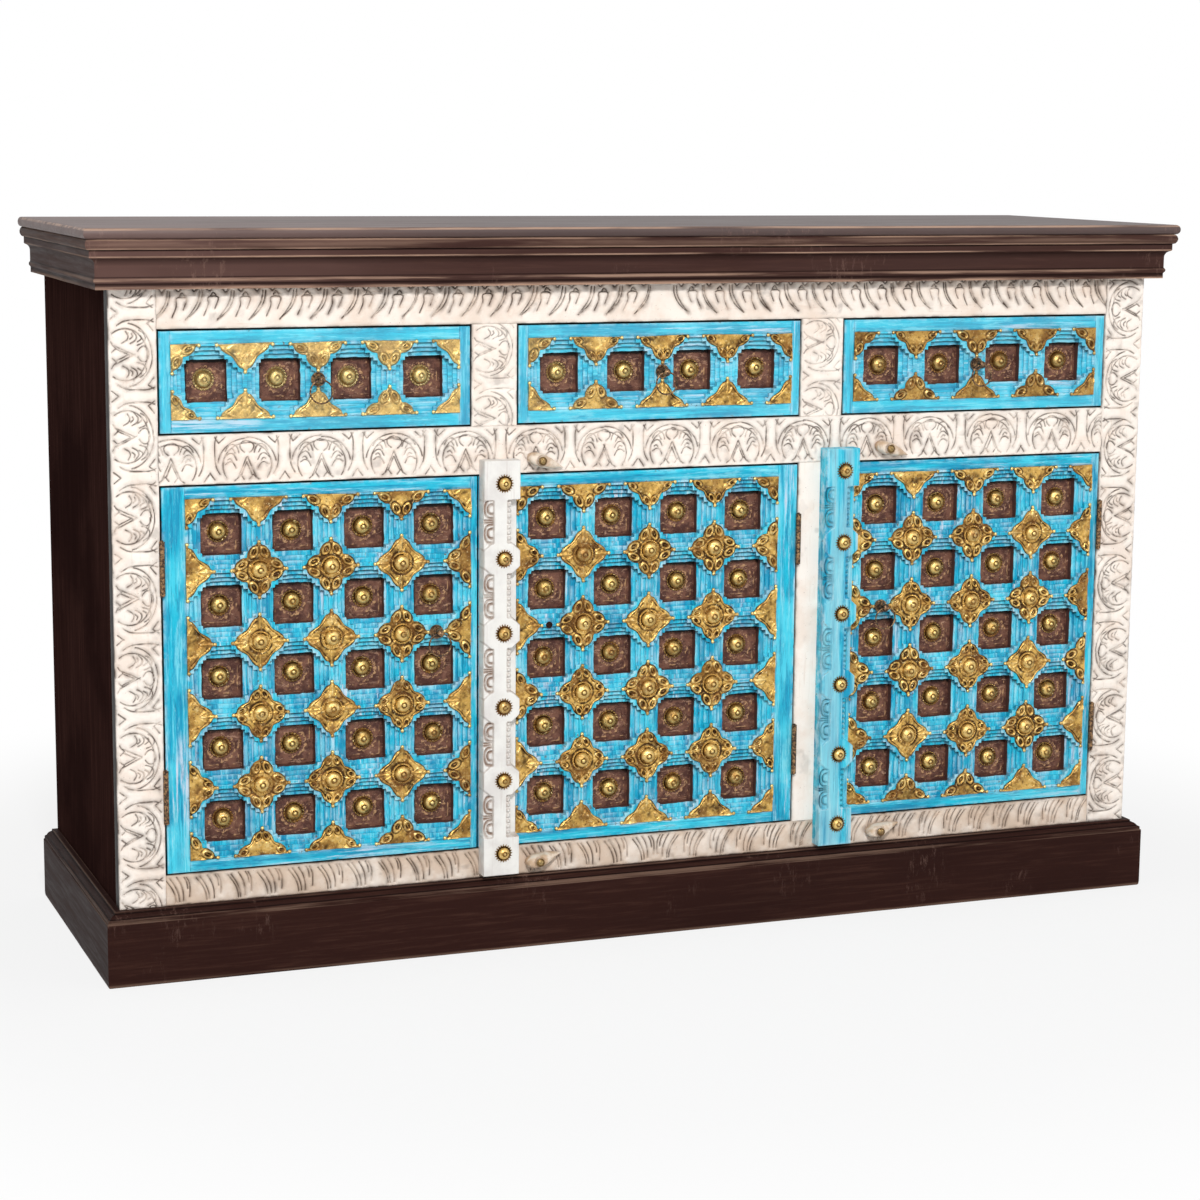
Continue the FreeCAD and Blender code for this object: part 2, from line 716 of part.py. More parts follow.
def hinge_leaf(jamb, side, middle_z, on_door):
    """A leaf with its share of the barrel. The frame's leaf keeps the outer knuckles and the pin."""
    axis_x = jamb + (s.door_gap / 2) * side
    axis_y = face_y - s.hinge_standoff
    near = jamb + (s.door_gap - s.hinge_leaf_thickness) * side if on_door else jamb
    far = near + s.hinge_leaf_thickness * side
    xs = sorted((near, far), key=float)
    low = middle_z - s.hinge_height / 2
    knuckle = s.hinge_height / KNUCKLES
    leaf_front = axis_y + s.knuckle_radius + s.seat_gap
    shape = block((xs[0], leaf_front, low), (xs[1], face_y + s.hinge_leaf_depth, low + s.hinge_height))
    bore = s.pin_radius + s.pin_clearance
    for number in range(KNUCKLES):
        if (number % 2 == 1) != on_door:
            continue
        start = low + knuckle * number
        trim = s.seat_gap if on_door else ZERO
        foot, head = start + trim, start + knuckle - trim
        barrel = Part.makeCylinder(float(s.knuckle_radius), float(head - foot),
                                   Vector(float(axis_x), float(axis_y), float(foot)))
        web = block((xs[0], axis_y, foot), (xs[1], leaf_front + s.seat_gap, head))
        shape = shape.fuse([barrel, web])
    top = low + s.hinge_height
    if on_door:
        shape = shape.cut(upright(axis_x, axis_y, low, top, bore))
    else:
        pin = upright(axis_x, axis_y, low - s.pin_cap_height, top + s.pin_cap_height, s.pin_radius)
        shape = shape.fuse(pin)
    return shape.removeSplitter()


def upright(x, y, low, high, radius):
    return Part.makeCylinder(float(radius), float(high - low), Vector(float(x), float(y), float(low)))


def hinge_levels():
    edge = s.door_gap + s.hinge_inset
    return [door_low + edge, door_high - edge]


# Ring pulls: pierced ball on a stalk and plate, and the ring that hangs in it

def ring_pull(body_name, x, z):
    """The fixed boss and the loose ring of one pull, at a point of the face."""
    name = "%s_pull" % body_name
    plate_disc = rod("%s_base" % name, (x, face_y, z), s.pull_base_radius, s.pull_base_thickness, Vector(0, -1, 0))
    stalk = rod("%s_stalk" % name, (x, face_y, z), s.pull_neck_radius, s.pull_standoff, Vector(0, -1, 0))
    ball = doc.addObject("Part::Sphere", "%s_ball" % name)
    ball.Label = "%s_ball" % name
    ball.setExpression("Radius", s.pull_ball_radius.formula)
    place(ball, (x, face_y - s.pull_standoff, z))
    collar = doc.addObject("Part::Cone", "%s_collar" % name)
    collar.Label = "%s_collar" % name
    collar.setExpression("Radius1", s.pull_collar_radius.formula)
    collar.setExpression("Radius2", s.pull_neck_radius.formula)
    collar.setExpression("Height", s.pull_collar_height.formula)
    collar.Placement.Rotation = FreeCAD.Rotation(Vector(0, 0, 1), Vector(0, -1, 0))
    place(collar, (x, face_y - s.pull_base_thickness, z))
    solid = fuse("%s_solid" % name, [plate_disc, collar, stalk, ball])
    half = s.pull_ball_radius + s.overrun
    eye = rod("%s_eye" % name, (x - half, face_y - s.pull_standoff, z), s.pull_eye_radius, half * 2, Vector(1, 0, 0))
    node(cut(name, solid, eye))
    ring = doc.addObject("Part::Torus", "%s_ring" % body_name)
    ring.Label = "%s_ring" % body_name
    ring.setExpression("Radius1", s.ring_radius.formula)
    ring.setExpression("Radius2", s.ring_wire_radius.formula)
    ring.Placement.Rotation = FreeCAD.Rotation(Vector(0, 0, 1), Vector(0, 1, 0))
    place(ring, (x, face_y - s.pull_standoff, z - s.ring_radius))
    node(ring)


# Doors

def batten(label, left):
    """Cover strip with softened front edges, over the rails above and below the door."""
    low = (left, face_y - s.seat_gap - s.batten_thickness, door_low - s.batten_foot_lap)
    high = (left + s.batten_width, face_y - s.seat_gap, door_high + s.batten_top_lap)
    strip = block(low, high)
    front = [edge for edge in strip.Edges if abs(edge.CenterOfMass.y - float(low[1])) < float(s.seat_gap)]
    return node(shaped(label, strip.makeFillet(float(s.batten_edge_radius), front)))


def batten_studs(left):
    """Studs down the middle of a batten, evenly spaced between its end insets."""
    x = left + s.batten_width / 2 + s.batten_stud_shift
    low = door_low - s.batten_foot_lap + s.batten_stud_inset
    high = door_high + s.batten_top_lap - s.batten_stud_inset
    seat = face_y - s.seat_gap - s.batten_thickness
    pieces = []
    for number in range(BATTEN_STUDS):
        z = low + (high - low) * (number / (BATTEN_STUDS - 1))
        pieces.append(dome(x, z, seat, s.batten_stud_radius, s.batten_stud_height, s.batten_rosette_radius))
    return pieces


def door_edges():
    """Left and right edge of each door."""
    middle_high = inner_edge - s.door_gap
    middle_low = middle_high - s.middle_door_width
    return {
        "left": (s.door_gap - opening_edge, middle_low - s.door_gap),
        "middle": (middle_low, middle_high),
        "right": (outer_edge + s.door_gap, opening_edge - s.door_gap),
    }


def batten_left(name):
    """Left edge of a door's batten: flush with the middle door, lapping the stile at the right door."""
    low_x, _ = door_edges()[name]
    if name == "middle":
        return low_x
    return low_x + s.right_batten_bite - s.batten_width


def doors():
    low_z, high_z = door_low + s.door_gap, door_high - s.door_gap
    frame_leaves = []
    for name, (low_x, high_x) in door_edges().items():
        field = door_field(name, low_x, high_x)
        lattice_front("%s_door_front" % name, low_x, high_x, low_z, high_z, field)
        node(board("%s_door_panel" % name, (low_x, lattice_back, low_z), (high_x, panel_back, high_z)))
        brass = plates_and_studs(field)
        if name != "left":
            batten("%s_door_batten" % name, batten_left(name))
            brass += batten_studs(batten_left(name))
        node(shaped("%s_door_brass" % name, Part.makeCompound(brass)))
        jamb, side = hinge_edges()[name]
        leaves = [hinge_leaf(jamb, side, z, True) for z in hinge_levels()]
        node(shaped("%s_door_hinge_leaves" % name, Part.makeCompound(leaves)))
        frame_leaves += [hinge_leaf(jamb, side, z, False) for z in hinge_levels()]
        pull_row = (field.rows + 1) // 2
        if name == "left":
            ring_pull("left_door", *field.crossing(field.columns - 1 / 2, pull_row))
        if name == "right":
            ring_pull("right_door", *field.crossing(1 / 2, pull_row))
    node(shaped("hinge_frame_leaves", Part.makeCompound(frame_leaves)))


# Drawers

def drawer_edges():
    return {
        "left": (s.door_gap - opening_edge, -outer_edge - s.door_gap),
        "middle": (s.door_gap - inner_edge, inner_edge - s.door_gap),
        "right": (outer_edge + s.door_gap, opening_edge - s.door_gap),
    }


def drawer_box(name, low_x, high_x, low_z, high_z):
    """Brown front board, two sides, a back and a bottom behind the drawer's lattice."""
    low = drawer_low + s.seat_gap
    high = low + s.drawer_side_height
    end = inside_back - s.drawer_back_room
    side = s.drawer_side_thickness
    floor = low + s.drawer_bottom_lift
    return group("%s_drawer_box" % name, [
        board("%s_drawer_panel" % name, (low_x, lattice_back, low_z), (high_x, panel_back, high_z)),
        board("%s_drawer_side_left" % name, (low_x, panel_back, low), (low_x + side, end, high)),
        board("%s_drawer_side_right" % name, (high_x - side, panel_back, low), (high_x, end, high)),
        board("%s_drawer_back" % name, (low_x + side, end - side, low), (high_x - side, end, high)),
        board("%s_drawer_bottom" % name, (low_x + side, panel_back, floor),
              (high_x - side, end - side, floor + s.drawer_bottom_thickness)),
    ])


def drawers():
    low_z, high_z = drawer_low + s.door_gap, drawer_high - s.door_gap
    foot = (drawer_low + drawer_high - s.drawer_field_height) / 2
    for name, (low_x, high_x) in drawer_edges().items():
        columns = copies(high_x - low_x - s.drawer_end_border * 2, s.pitch_across)
        left = (low_x + high_x - s.pitch_across * columns) / 2
        field = Field(left, foot, columns, 1, s.drawer_field_height)
        lattice_front("%s_drawer_front" % name, low_x, high_x, low_z, high_z, field)
        node(shaped("%s_drawer_brass" % name, Part.makeCompound(plates_and_studs(field))))
        node(drawer_box(name, low_x, high_x, low_z, high_z))
        ring_pull("%s_drawer" % name, *field.crossing(columns // 2, 1 / 2))


# Turn buttons

def button_outline():
    """Kite from above its screw: round head on the left, blunt tip on the right."""
    half, tip = float(s.button_width) / 2, float(s.button_tip_width) / 2
    reach, head = float(s.button_reach), float(s.button_head)
    upper, lower = Vector(0, 0, half), Vector(0, 0, -half)
    tip_upper, tip_lower = Vector(reach - tip, 0, tip), Vector(reach - tip, 0, -tip)
    return Part.Wire([
        arc(upper, Vector(-head, 0, 0), lower),
        line(lower, tip_lower),
        arc(tip_lower, Vector(reach, 0, 0), tip_upper),
        line(tip_upper, upper),
    ])


def turn_button(label, x, z, tilt):
    """A kite that thins towards its tip, on a round foot, drilled for its screw."""
    back = -float(s.seat_gap + s.button_washer_height)
    thick, thin = float(s.button_thickness), float(s.button_tip_thickness)
    outline = Part.Face(button_outline())
    outline.translate(Vector(0, back, 0))
    kite = outline.extrude(Vector(0, -thick, 0))
    run, over = float(s.button_reach + s.overrun), float(s.overrun)
    slope = (thick - thin) / float(s.button_reach)
    knee = float(s.button_width) / 2
    side_view = [Vector(knee, back - thick, 0), Vector(run, back - thick + slope * (run - knee), 0),
                 Vector(run, back - thick - over, 0), Vector(knee, back - thick - over, 0)]
    wedge = Part.Face(Part.makePolygon(side_view + side_view[:1]))
    wedge.translate(Vector(0, 0, -float(s.button_width)))
    wedge = wedge.extrude(Vector(0, 0, 2 * float(s.button_width)))
    foot = Part.makeCylinder(float(s.button_washer_radius), float(s.button_washer_height),
                             Vector(0, -float(s.seat_gap), 0), Vector(0, -1, 0))
    hole = Part.makeCylinder(float(s.screw_radius + s.pin_clearance), thick + over - back,
                             Vector(0, 0, 0), Vector(0, -1, 0))
    shape = kite.cut(wedge).fuse(foot).cut(hole).removeSplitter()
    shape.rotate(Vector(0, 0, 0), Vector(0, 1, 0), -tilt)
    shape.translate(Vector(float(x), float(face_y), float(z)))
    return node(shaped(label, shape))


def button_screw(x, z):
    """Shank from inside the rail through the button, and a round head in front."""
    length = float(s.screw_bite + s.seat_gap * 2 + s.button_washer_height + s.button_thickness)
    shank, rim = float(s.screw_radius), float(s.screw_head_radius)
    crown = Vector(0, -length - float(s.screw_head_height), 0)
    edges = [
        line(Vector(0, 0, 0), Vector(shank, 0, 0)),
        line(Vector(shank, 0, 0), Vector(shank, -length, 0)),
        line(Vector(shank, -length, 0), Vector(rim, -length, 0)),
        cap_crown(s.screw_head_radius, s.screw_head_height, -length),
        line(crown, Vector(0, 0, 0)),
    ]
    return turned(edges, x, face_y + s.screw_bite, z)


def turn_buttons():
    screws = []
    for name, inset in (("middle", s.middle_button_inset), ("right", s.right_button_inset)):
        x = batten_left(name) + s.batten_width + inset
        for level, z, tilt in (("upper", door_high + s.button_rise, REST_TILT_TOP),
                               ("lower", door_low - s.button_fall, REST_TILT_BOTTOM)):
            turn_button("turn_button_%s_%s" % (name, level), x, z, tilt)
            screws.append(button_screw(x, z))
    node(shaped("button_screws", Part.makeCompound(screws)))


def failed(obj):
    return "Invalid" in obj.State or "Error" in obj.State


def export():
    """Check every object and every node's solids, then write one file for each node."""
    doc.recompute()
    bad = [obj.Label for obj in doc.Objects if failed(obj)]
    if bad:
        raise RuntimeError("not built: %s" % ", ".join(bad))
    for piece in NODES:
        shape = piece.Shape
        if shape.isNull() or not shape.isValid() or not shape.Solids:
            raise RuntimeError("no sound solid: %s" % piece.Label)
    os.makedirs("parts", exist_ok=True)
    for piece in NODES:
        piece.Shape.exportStep("parts/%s.step" % piece.Label)
    print("%d nodes, %d solids" % (len(NODES), sum(len(piece.Shape.Solids) for piece in NODES)))


carcass()
shelves()
drawer_runners()
doors()
drawers()
turn_buttons()
export()
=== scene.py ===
"""Looks of a carved and painted sideboard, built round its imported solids.

Metres. +X is the viewer's right, -Y is the front, +Z is up.
"""

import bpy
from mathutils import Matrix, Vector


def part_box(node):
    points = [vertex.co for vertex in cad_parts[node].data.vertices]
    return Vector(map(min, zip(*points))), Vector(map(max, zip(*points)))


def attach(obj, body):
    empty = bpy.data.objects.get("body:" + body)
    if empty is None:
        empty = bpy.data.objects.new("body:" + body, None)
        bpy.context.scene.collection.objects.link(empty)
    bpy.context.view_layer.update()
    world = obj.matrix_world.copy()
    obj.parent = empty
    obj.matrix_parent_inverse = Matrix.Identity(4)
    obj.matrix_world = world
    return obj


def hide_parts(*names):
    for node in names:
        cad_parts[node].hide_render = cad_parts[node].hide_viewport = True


bl_info = {
    "name": "Carved Sideboard Finish",
    "version": (1, 0, 0),
    "blender": (4, 5, 0),
    "location": "View3D > Sidebar > Sideboard",
    "description": "Carving, lattice, brass and paint for a carved sideboard",
    "category": "Object",
}

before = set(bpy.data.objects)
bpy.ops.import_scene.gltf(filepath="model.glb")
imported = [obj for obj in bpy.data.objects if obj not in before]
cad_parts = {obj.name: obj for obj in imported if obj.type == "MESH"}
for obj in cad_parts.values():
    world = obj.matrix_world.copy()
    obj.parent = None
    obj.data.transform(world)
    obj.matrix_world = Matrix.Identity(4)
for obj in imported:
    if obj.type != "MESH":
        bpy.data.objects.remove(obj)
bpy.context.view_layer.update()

import math
from collections import namedtuple
from functools import cache

import bpy
import numpy as np
from bpy.props import FloatProperty, FloatVectorProperty, PointerProperty
from bpy.types import Operator, Panel, PropertyGroup
from mathutils import Matrix, Vector

MM = 0.001
SHARP_ANGLE = math.radians(38)
FAR = 1e3
EDGE = 1.3 * MM
CARVED_EDGE = 1.2 * MM

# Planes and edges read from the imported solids
FACE_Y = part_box("mid_rail")[0].y
CORNICE_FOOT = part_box("cornice")[0].z
PLINTH_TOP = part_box("plinth_cap")[1].z
HALF_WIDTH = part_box("stile_right")[1].x
BACK_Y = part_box("side_panel_left")[1].y


def srgb(red, green, blue):
    """A display colour, 0 to 255, as the linear colour with alpha that nodes expect."""
    channels = [value / 255 for value in (red, green, blue)]
    linear = [c / 12.92 if c <= 0.04045 else ((c + 0.055) / 1.055) ** 2.4 for c in channels]
    return (*linear, 1.0)


def colour(name, description, default):
    return FloatVectorProperty(name=name, description=description, subtype="COLOR", size=4,
                               min=0, max=1, default=default)


def length(name, description, default):
    return FloatProperty(name=name, description=description, subtype="DISTANCE", unit="LENGTH",
                         min=0, default=default, precision=5)


class SideboardColours(PropertyGroup):
    """Paints, woods and metals of the sideboard."""

    turquoise: colour("Turquoise", "Paint of the doors, drawers and right batten",
                      srgb(18, 191, 220))
    turquoise_deep: colour("Deep turquoise", "Thicker strokes of the same paint", srgb(0, 146, 186))
    rubbed: colour("Rubbed paint", "Pale streaks where the turquoise is worn", srgb(204, 216, 232))
    wash: colour("Whitewash", "Carved rails and stiles", srgb(252, 242, 232))
    wash_shade: colour("Whitewash shade", "Pinkish cloudy parts of the whitewash",
                       srgb(243, 226, 212))
    stain: colour("Stain", "Brown left in the carved lines", srgb(62, 38, 20))
    batten_white: colour("Batten white", "Cover strip of the middle door", srgb(238, 236, 231))
    walnut: colour("Dark wood", "Cornice, plinth, top and sides", srgb(48, 27, 23))
    walnut_light: colour("Dark wood grain", "Paler grain of the dark wood", srgb(78, 52, 43))
    worn_wood: colour("Worn edges", "Bare wood on the edges of the mouldings", srgb(172, 140, 120))
    inner_wood: colour("Inner wood", "Boards inside and behind", srgb(150, 110, 74))
    recess_wood: colour("Recess wood", "Board behind the lattice", srgb(120, 80, 64))
    brass: colour("Brass", "Plates and studs", srgb(212, 170, 90))
    brass_dark: colour("Brass shade", "Tarnish in the hollows of the brass", srgb(60, 38, 14))
    iron: colour("Iron", "Ring pulls and hinges", srgb(62, 48, 42))
    floor: colour("Floor", "Studio floor", (0.86, 0.86, 0.86, 1))


class LatticeSizes(PropertyGroup):
    """Sizes of the latticed doors and drawers, as in the solids."""

    pitch_across: length("Pitch across", "Recess to recess, sideways", 93 * MM)
    pitch_up: length("Pitch up", "Recess to recess, upwards", 92 * MM)
    drawer_field: length("Drawer field", "Height of a drawer's lattice", 93 * MM)
    recess: length("Recess", "Side of a square recess", 52.5 * MM)
    step: length("Step", "Reach of each ledge", 5.7 * MM)
    first_step: length("First ledge", "Length of the lowest ledge", 44 * MM)
    narrowing: length("Narrowing", "Each higher ledge is shorter by this", 12 * MM)
    step_depth: length("Step depth", "Each ledge lies deeper than the next one out", 3.2 * MM)
    softening: length("Softening", "Rounding of the cut edges", 0.7 * MM)


class CarvingSizes(PropertyGroup):
    """Sizes of the carved lines."""

    grid: length("Grid", "Spacing of the carved surface's points", 0.95 * MM)
    depth: length("Depth", "Depth of a full carved line", 2.1 * MM)
    half_width: length("Half width", "From the middle of a carved line to its edge", 1.15 * MM)
    pillow: length("Pillow", "Swelling between the carved lines", 1.3 * MM)


class BrassSizes(PropertyGroup):
    """Sizes of the brass plates and studs."""

    span: length("Span", "Plate, tip to tip", 74.6 * MM)
    thickness: length("Thickness", "Plate at its edge", 1.2 * MM)
    emboss: length("Emboss", "Height of the embossed lines", 1.8 * MM)
    boss: length("Boss", "Radius of the dome on a plate", 10.4 * MM)
    stud: length("Stud", "Radius of the dome in a recess", 10.4 * MM)
    batten_stud: length("Batten stud", "Radius of the dome on a batten", 8 * MM)


class StudioSettings(PropertyGroup):
    """Camera and lamps."""

    lens: FloatProperty(name="Lens", description="Focal length of the camera",
                        unit="CAMERA", default=82.55)
    key_power: FloatProperty(name="Key lamp", description="Power of the small front lamp",
                             unit="POWER", default=165)
    fill_power: FloatProperty(name="Fill lamp", description="Power of the side lamp",
                              unit="POWER", default=14)
    sky: FloatProperty(name="Sky", description="Strength of the even light from all round",
                       default=0.37)


# Number fields

def soft_noise(u, v, cell_u, cell_v, seed):
    """Smooth random values from -1 to 1 at the points u, v, with bumps one cell wide."""
    size = 64
    table = np.random.default_rng(seed).uniform(-1, 1, (size, size))
    a, b = u / cell_u, v / cell_v
    i, j = np.floor(a).astype(int), np.floor(b).astype(int)
    s, t = a - i, b - j
    s, t = s * s * (3 - 2 * s), t * t * (3 - 2 * t)

    def row(j):
        return table[i % size, j % size] * (1 - s) + table[(i + 1) % size, j % size] * s
    return row(j) * (1 - t) + row(j + 1) * t


def unevenness(u, v, waves, seed):
    """Sum of soft noises, each wave given as its height and its cell along u and v."""
    return sum(height * soft_noise(u, v, cell_u, cell_v, seed + number)
               for number, (height, cell_u, cell_v) in enumerate(waves))


def smooth_step(value, low, high):
    share = np.clip((value - low) / (high - low), 0, 1)
    return share * share * (3 - 2 * share)


def ridge(value, middle, width, power=2):
    """1 where the value is at the middle, falling to 0 within about two widths."""
    return np.exp(-((value - middle) / width) ** power)


def fade(distance, reach):
    """1 at an edge and outside it, falling off inwards."""
    return np.exp(-np.maximum(distance, 0) / reach)


def nearest_line(u, v, lines):
    """Distance from each point to the nearest of some open lines."""
    nearest = np.full(np.shape(u), FAR)
    for line in lines:
        for (u0, v0), (u1, v1) in zip(line, line[1:]):
            du, dv = u1 - u0, v1 - v0
            along = np.clip(((u - u0) * du + (v - v0) * dv) / (du * du + dv * dv + 1e-12), 0, 1)
            nearest = np.minimum(nearest, np.hypot(u - u0 - along * du, v - v0 - along * dv))
    return nearest


def curve_through(points, steps=5):
    """A smooth line through three or more points."""
    ends = [points[0]] + list(points) + [points[-1]]
    smooth = []
    for a, b, c, d in zip(ends, ends[1:], ends[2:], ends[3:]):
        for k in range(steps):
            t = k / steps
            smooth.append(tuple(0.5 * (2 * q + (r - p) * t + (2 * p - 5 * q + 4 * r - w) * t * t
                                       + (3 * q - p - 3 * r + w) * t ** 3)
                                for p, q, r, w in zip(a, b, c, d)))
    return smooth + [tuple(points[-1])]


def round_line(centre, radius, start, end, steps=16):
    """Part of a circle between two angles in degrees."""
    angles = [math.radians(start + (end - start) * k / steps) for k in range(steps + 1)]
    return [(centre[0] + radius * math.cos(a), centre[1] + radius * math.sin(a)) for a in angles]


def board_lines(low, high, step, rounding):
    """Grid lines across a board, closer together at its two rounded edges."""
    count = max(2, round((high - low - 2 * rounding) / step))
    inner = np.linspace(low + rounding, high - rounding, count + 1)
    return np.concatenate([[low, low + rounding * 0.3], inner, [high - rounding * 0.3, high]])


def rim_distance(x, z, left, right, foot, head):
    """How far each point is inside the nearest edge of a board."""
    return np.minimum(np.minimum(x - left, right - x), np.minimum(z - foot, head - z))


def edge_drop(rim, rounding):
    """How far a rounded edge falls back, at some distance from the board's edge."""
    inside = np.clip((rounding - np.maximum(rim, 0)) / rounding, 0, 1)
    return rounding * (1 - np.sqrt(1 - inside * inside * 0.98))


# Meshes

def mesh_object(name, vertices, faces, values):
    """New object from vertices, arrays of like faces, and named numbers for each vertex."""
    mesh = bpy.data.meshes.new(name)
    corners = np.concatenate([group.ravel() for group in faces])
    totals = np.concatenate([np.full(len(group), group.shape[1]) for group in faces])
    starts = np.concatenate([[0], np.cumsum(totals)[:-1]])
    mesh.vertices.add(len(vertices))
    mesh.vertices.foreach_set("co", np.asarray(vertices, np.float32).ravel())
    mesh.loops.add(len(corners))
    mesh.loops.foreach_set("vertex_index", corners.astype(np.int32))
    mesh.polygons.add(len(totals))
    mesh.polygons.foreach_set("loop_start", starts.astype(np.int32))
    mesh.update(calc_edges=True)
    mesh.polygons.foreach_set("use_smooth", np.ones(len(totals), bool))
    for key, numbers in values.items():
        layer = mesh.attributes.new(key, "FLOAT", "POINT")
        layer.data.foreach_set("value", np.asarray(numbers, np.float32).ravel())
    mesh.set_sharp_from_angle(angle=SHARP_ANGLE)
    obj = bpy.data.objects.new(name, mesh)
    bpy.context.scene.collection.objects.link(obj)
    return obj


class Heap:
    """Gathers shapes that become one mesh, with the painted light of each point."""

    def __init__(self):
        self.vertices, self.faces, self.relief = [], [], []
        self.count = 0

    def add(self, vertices, faces, relief):
        self.vertices.append(vertices)
        self.faces += [group + self.count for group in faces]
        self.relief.append(relief)
        self.count += len(vertices)

    def build(self, name):
        return mesh_object(name, np.concatenate(self.vertices), self.faces,
                           {"relief": np.concatenate(self.relief)})


def grid_index(rows, columns):
    return np.arange(rows * columns).reshape(rows, columns)


def grid_quads(rows, columns, closed=False):
    """Faces of a grid of points; a closed grid joins its last column to its first."""
    index = grid_index(rows, columns)
    if closed:
        index = np.concatenate([index, index[:, :1]], 1)
    corners = [index[:-1, :-1], index[:-1, 1:], index[1:, 1:], index[1:, :-1]]
    return np.stack(corners, -1).reshape(-1, 4)


def grid_rim(rows, columns):
    """The outer points of a grid, once round."""
    index = grid_index(rows, columns)
    return np.concatenate([index[0, :-1], index[:-1, -1], index[-1, :0:-1], index[:0:-1, 0]])


def tube_faces(rows, segments):
    """Sides of a stack of rings, its last ring as a cap and its first as a base."""
    ring = np.arange(segments)
    return [grid_quads(rows, segments, closed=True), (ring + (rows - 1) * segments)[None, :],
            ring[None, ::-1]]


def relief_board(name, across, up, height, front_y, back_y, values):
    """A board whose front is a height field, closed by sides carrying painted shade that deepens
    towards a plain back.
    """
    x, z = np.meshgrid(across, up)
    front = np.stack([x, front_y - height, z], -1).reshape(-1, 3)
    rim = grid_rim(*x.shape)
    back = front[rim].copy()
    back[:, 1] = back_y
    behind = np.arange(len(rim)) + len(front)
    sides = np.stack([rim, behind, np.roll(behind, -1), np.roll(rim, -1)], -1)
    full = {key: np.concatenate([numbers.ravel(), numbers.ravel()[rim]])
            for key, numbers in values.items()}
    full["hidden"] = np.concatenate([np.zeros(len(front)), np.ones(len(rim))])
    return mesh_object(name, np.concatenate([front, back]),
                       [grid_quads(*x.shape), sides, behind[::-1].reshape(1, -1)], full)


def dress(piece, material, body, slot, *nodes):
    """Give a piece its finish and body, and hide the solids that it stands for."""
    piece.data.materials.append(material)
    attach(piece, body)
    if nodes:
        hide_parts(*nodes)


def repaint(node_name, material):
    """Give a solid its finish."""
    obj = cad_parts[node_name]
    if not obj.material_slots:
        obj.data.materials.append(material)
    for holder in obj.material_slots:
        holder.material = material
    return obj


def soften(obj, width, segments=2):
    """Round the sharp edges of a piece."""
    bevel = obj.modifiers.new("softened edges", "BEVEL")
    bevel.width = width
    bevel.segments = segments
    bevel.limit_method = "ANGLE"
    bevel.angle_limit = SHARP_ANGLE
    bevel.harden_normals = True


# Finishes

def feed(tree, node, key, value):
    """Give a node's input a constant value or another node's output."""
    if isinstance(value, bpy.types.NodeSocket):
        tree.links.new(value, node.inputs[key])
    else:
        node.inputs[key].default_value = value


def add_node(tree, kind, inputs=None, **settings):
    node = tree.nodes.new("ShaderNode" + kind)
    for key, value in settings.items():
        setattr(node, key, value)
    for key, value in (inputs or {}).items():
        feed(tree, node, key, value)
    return node


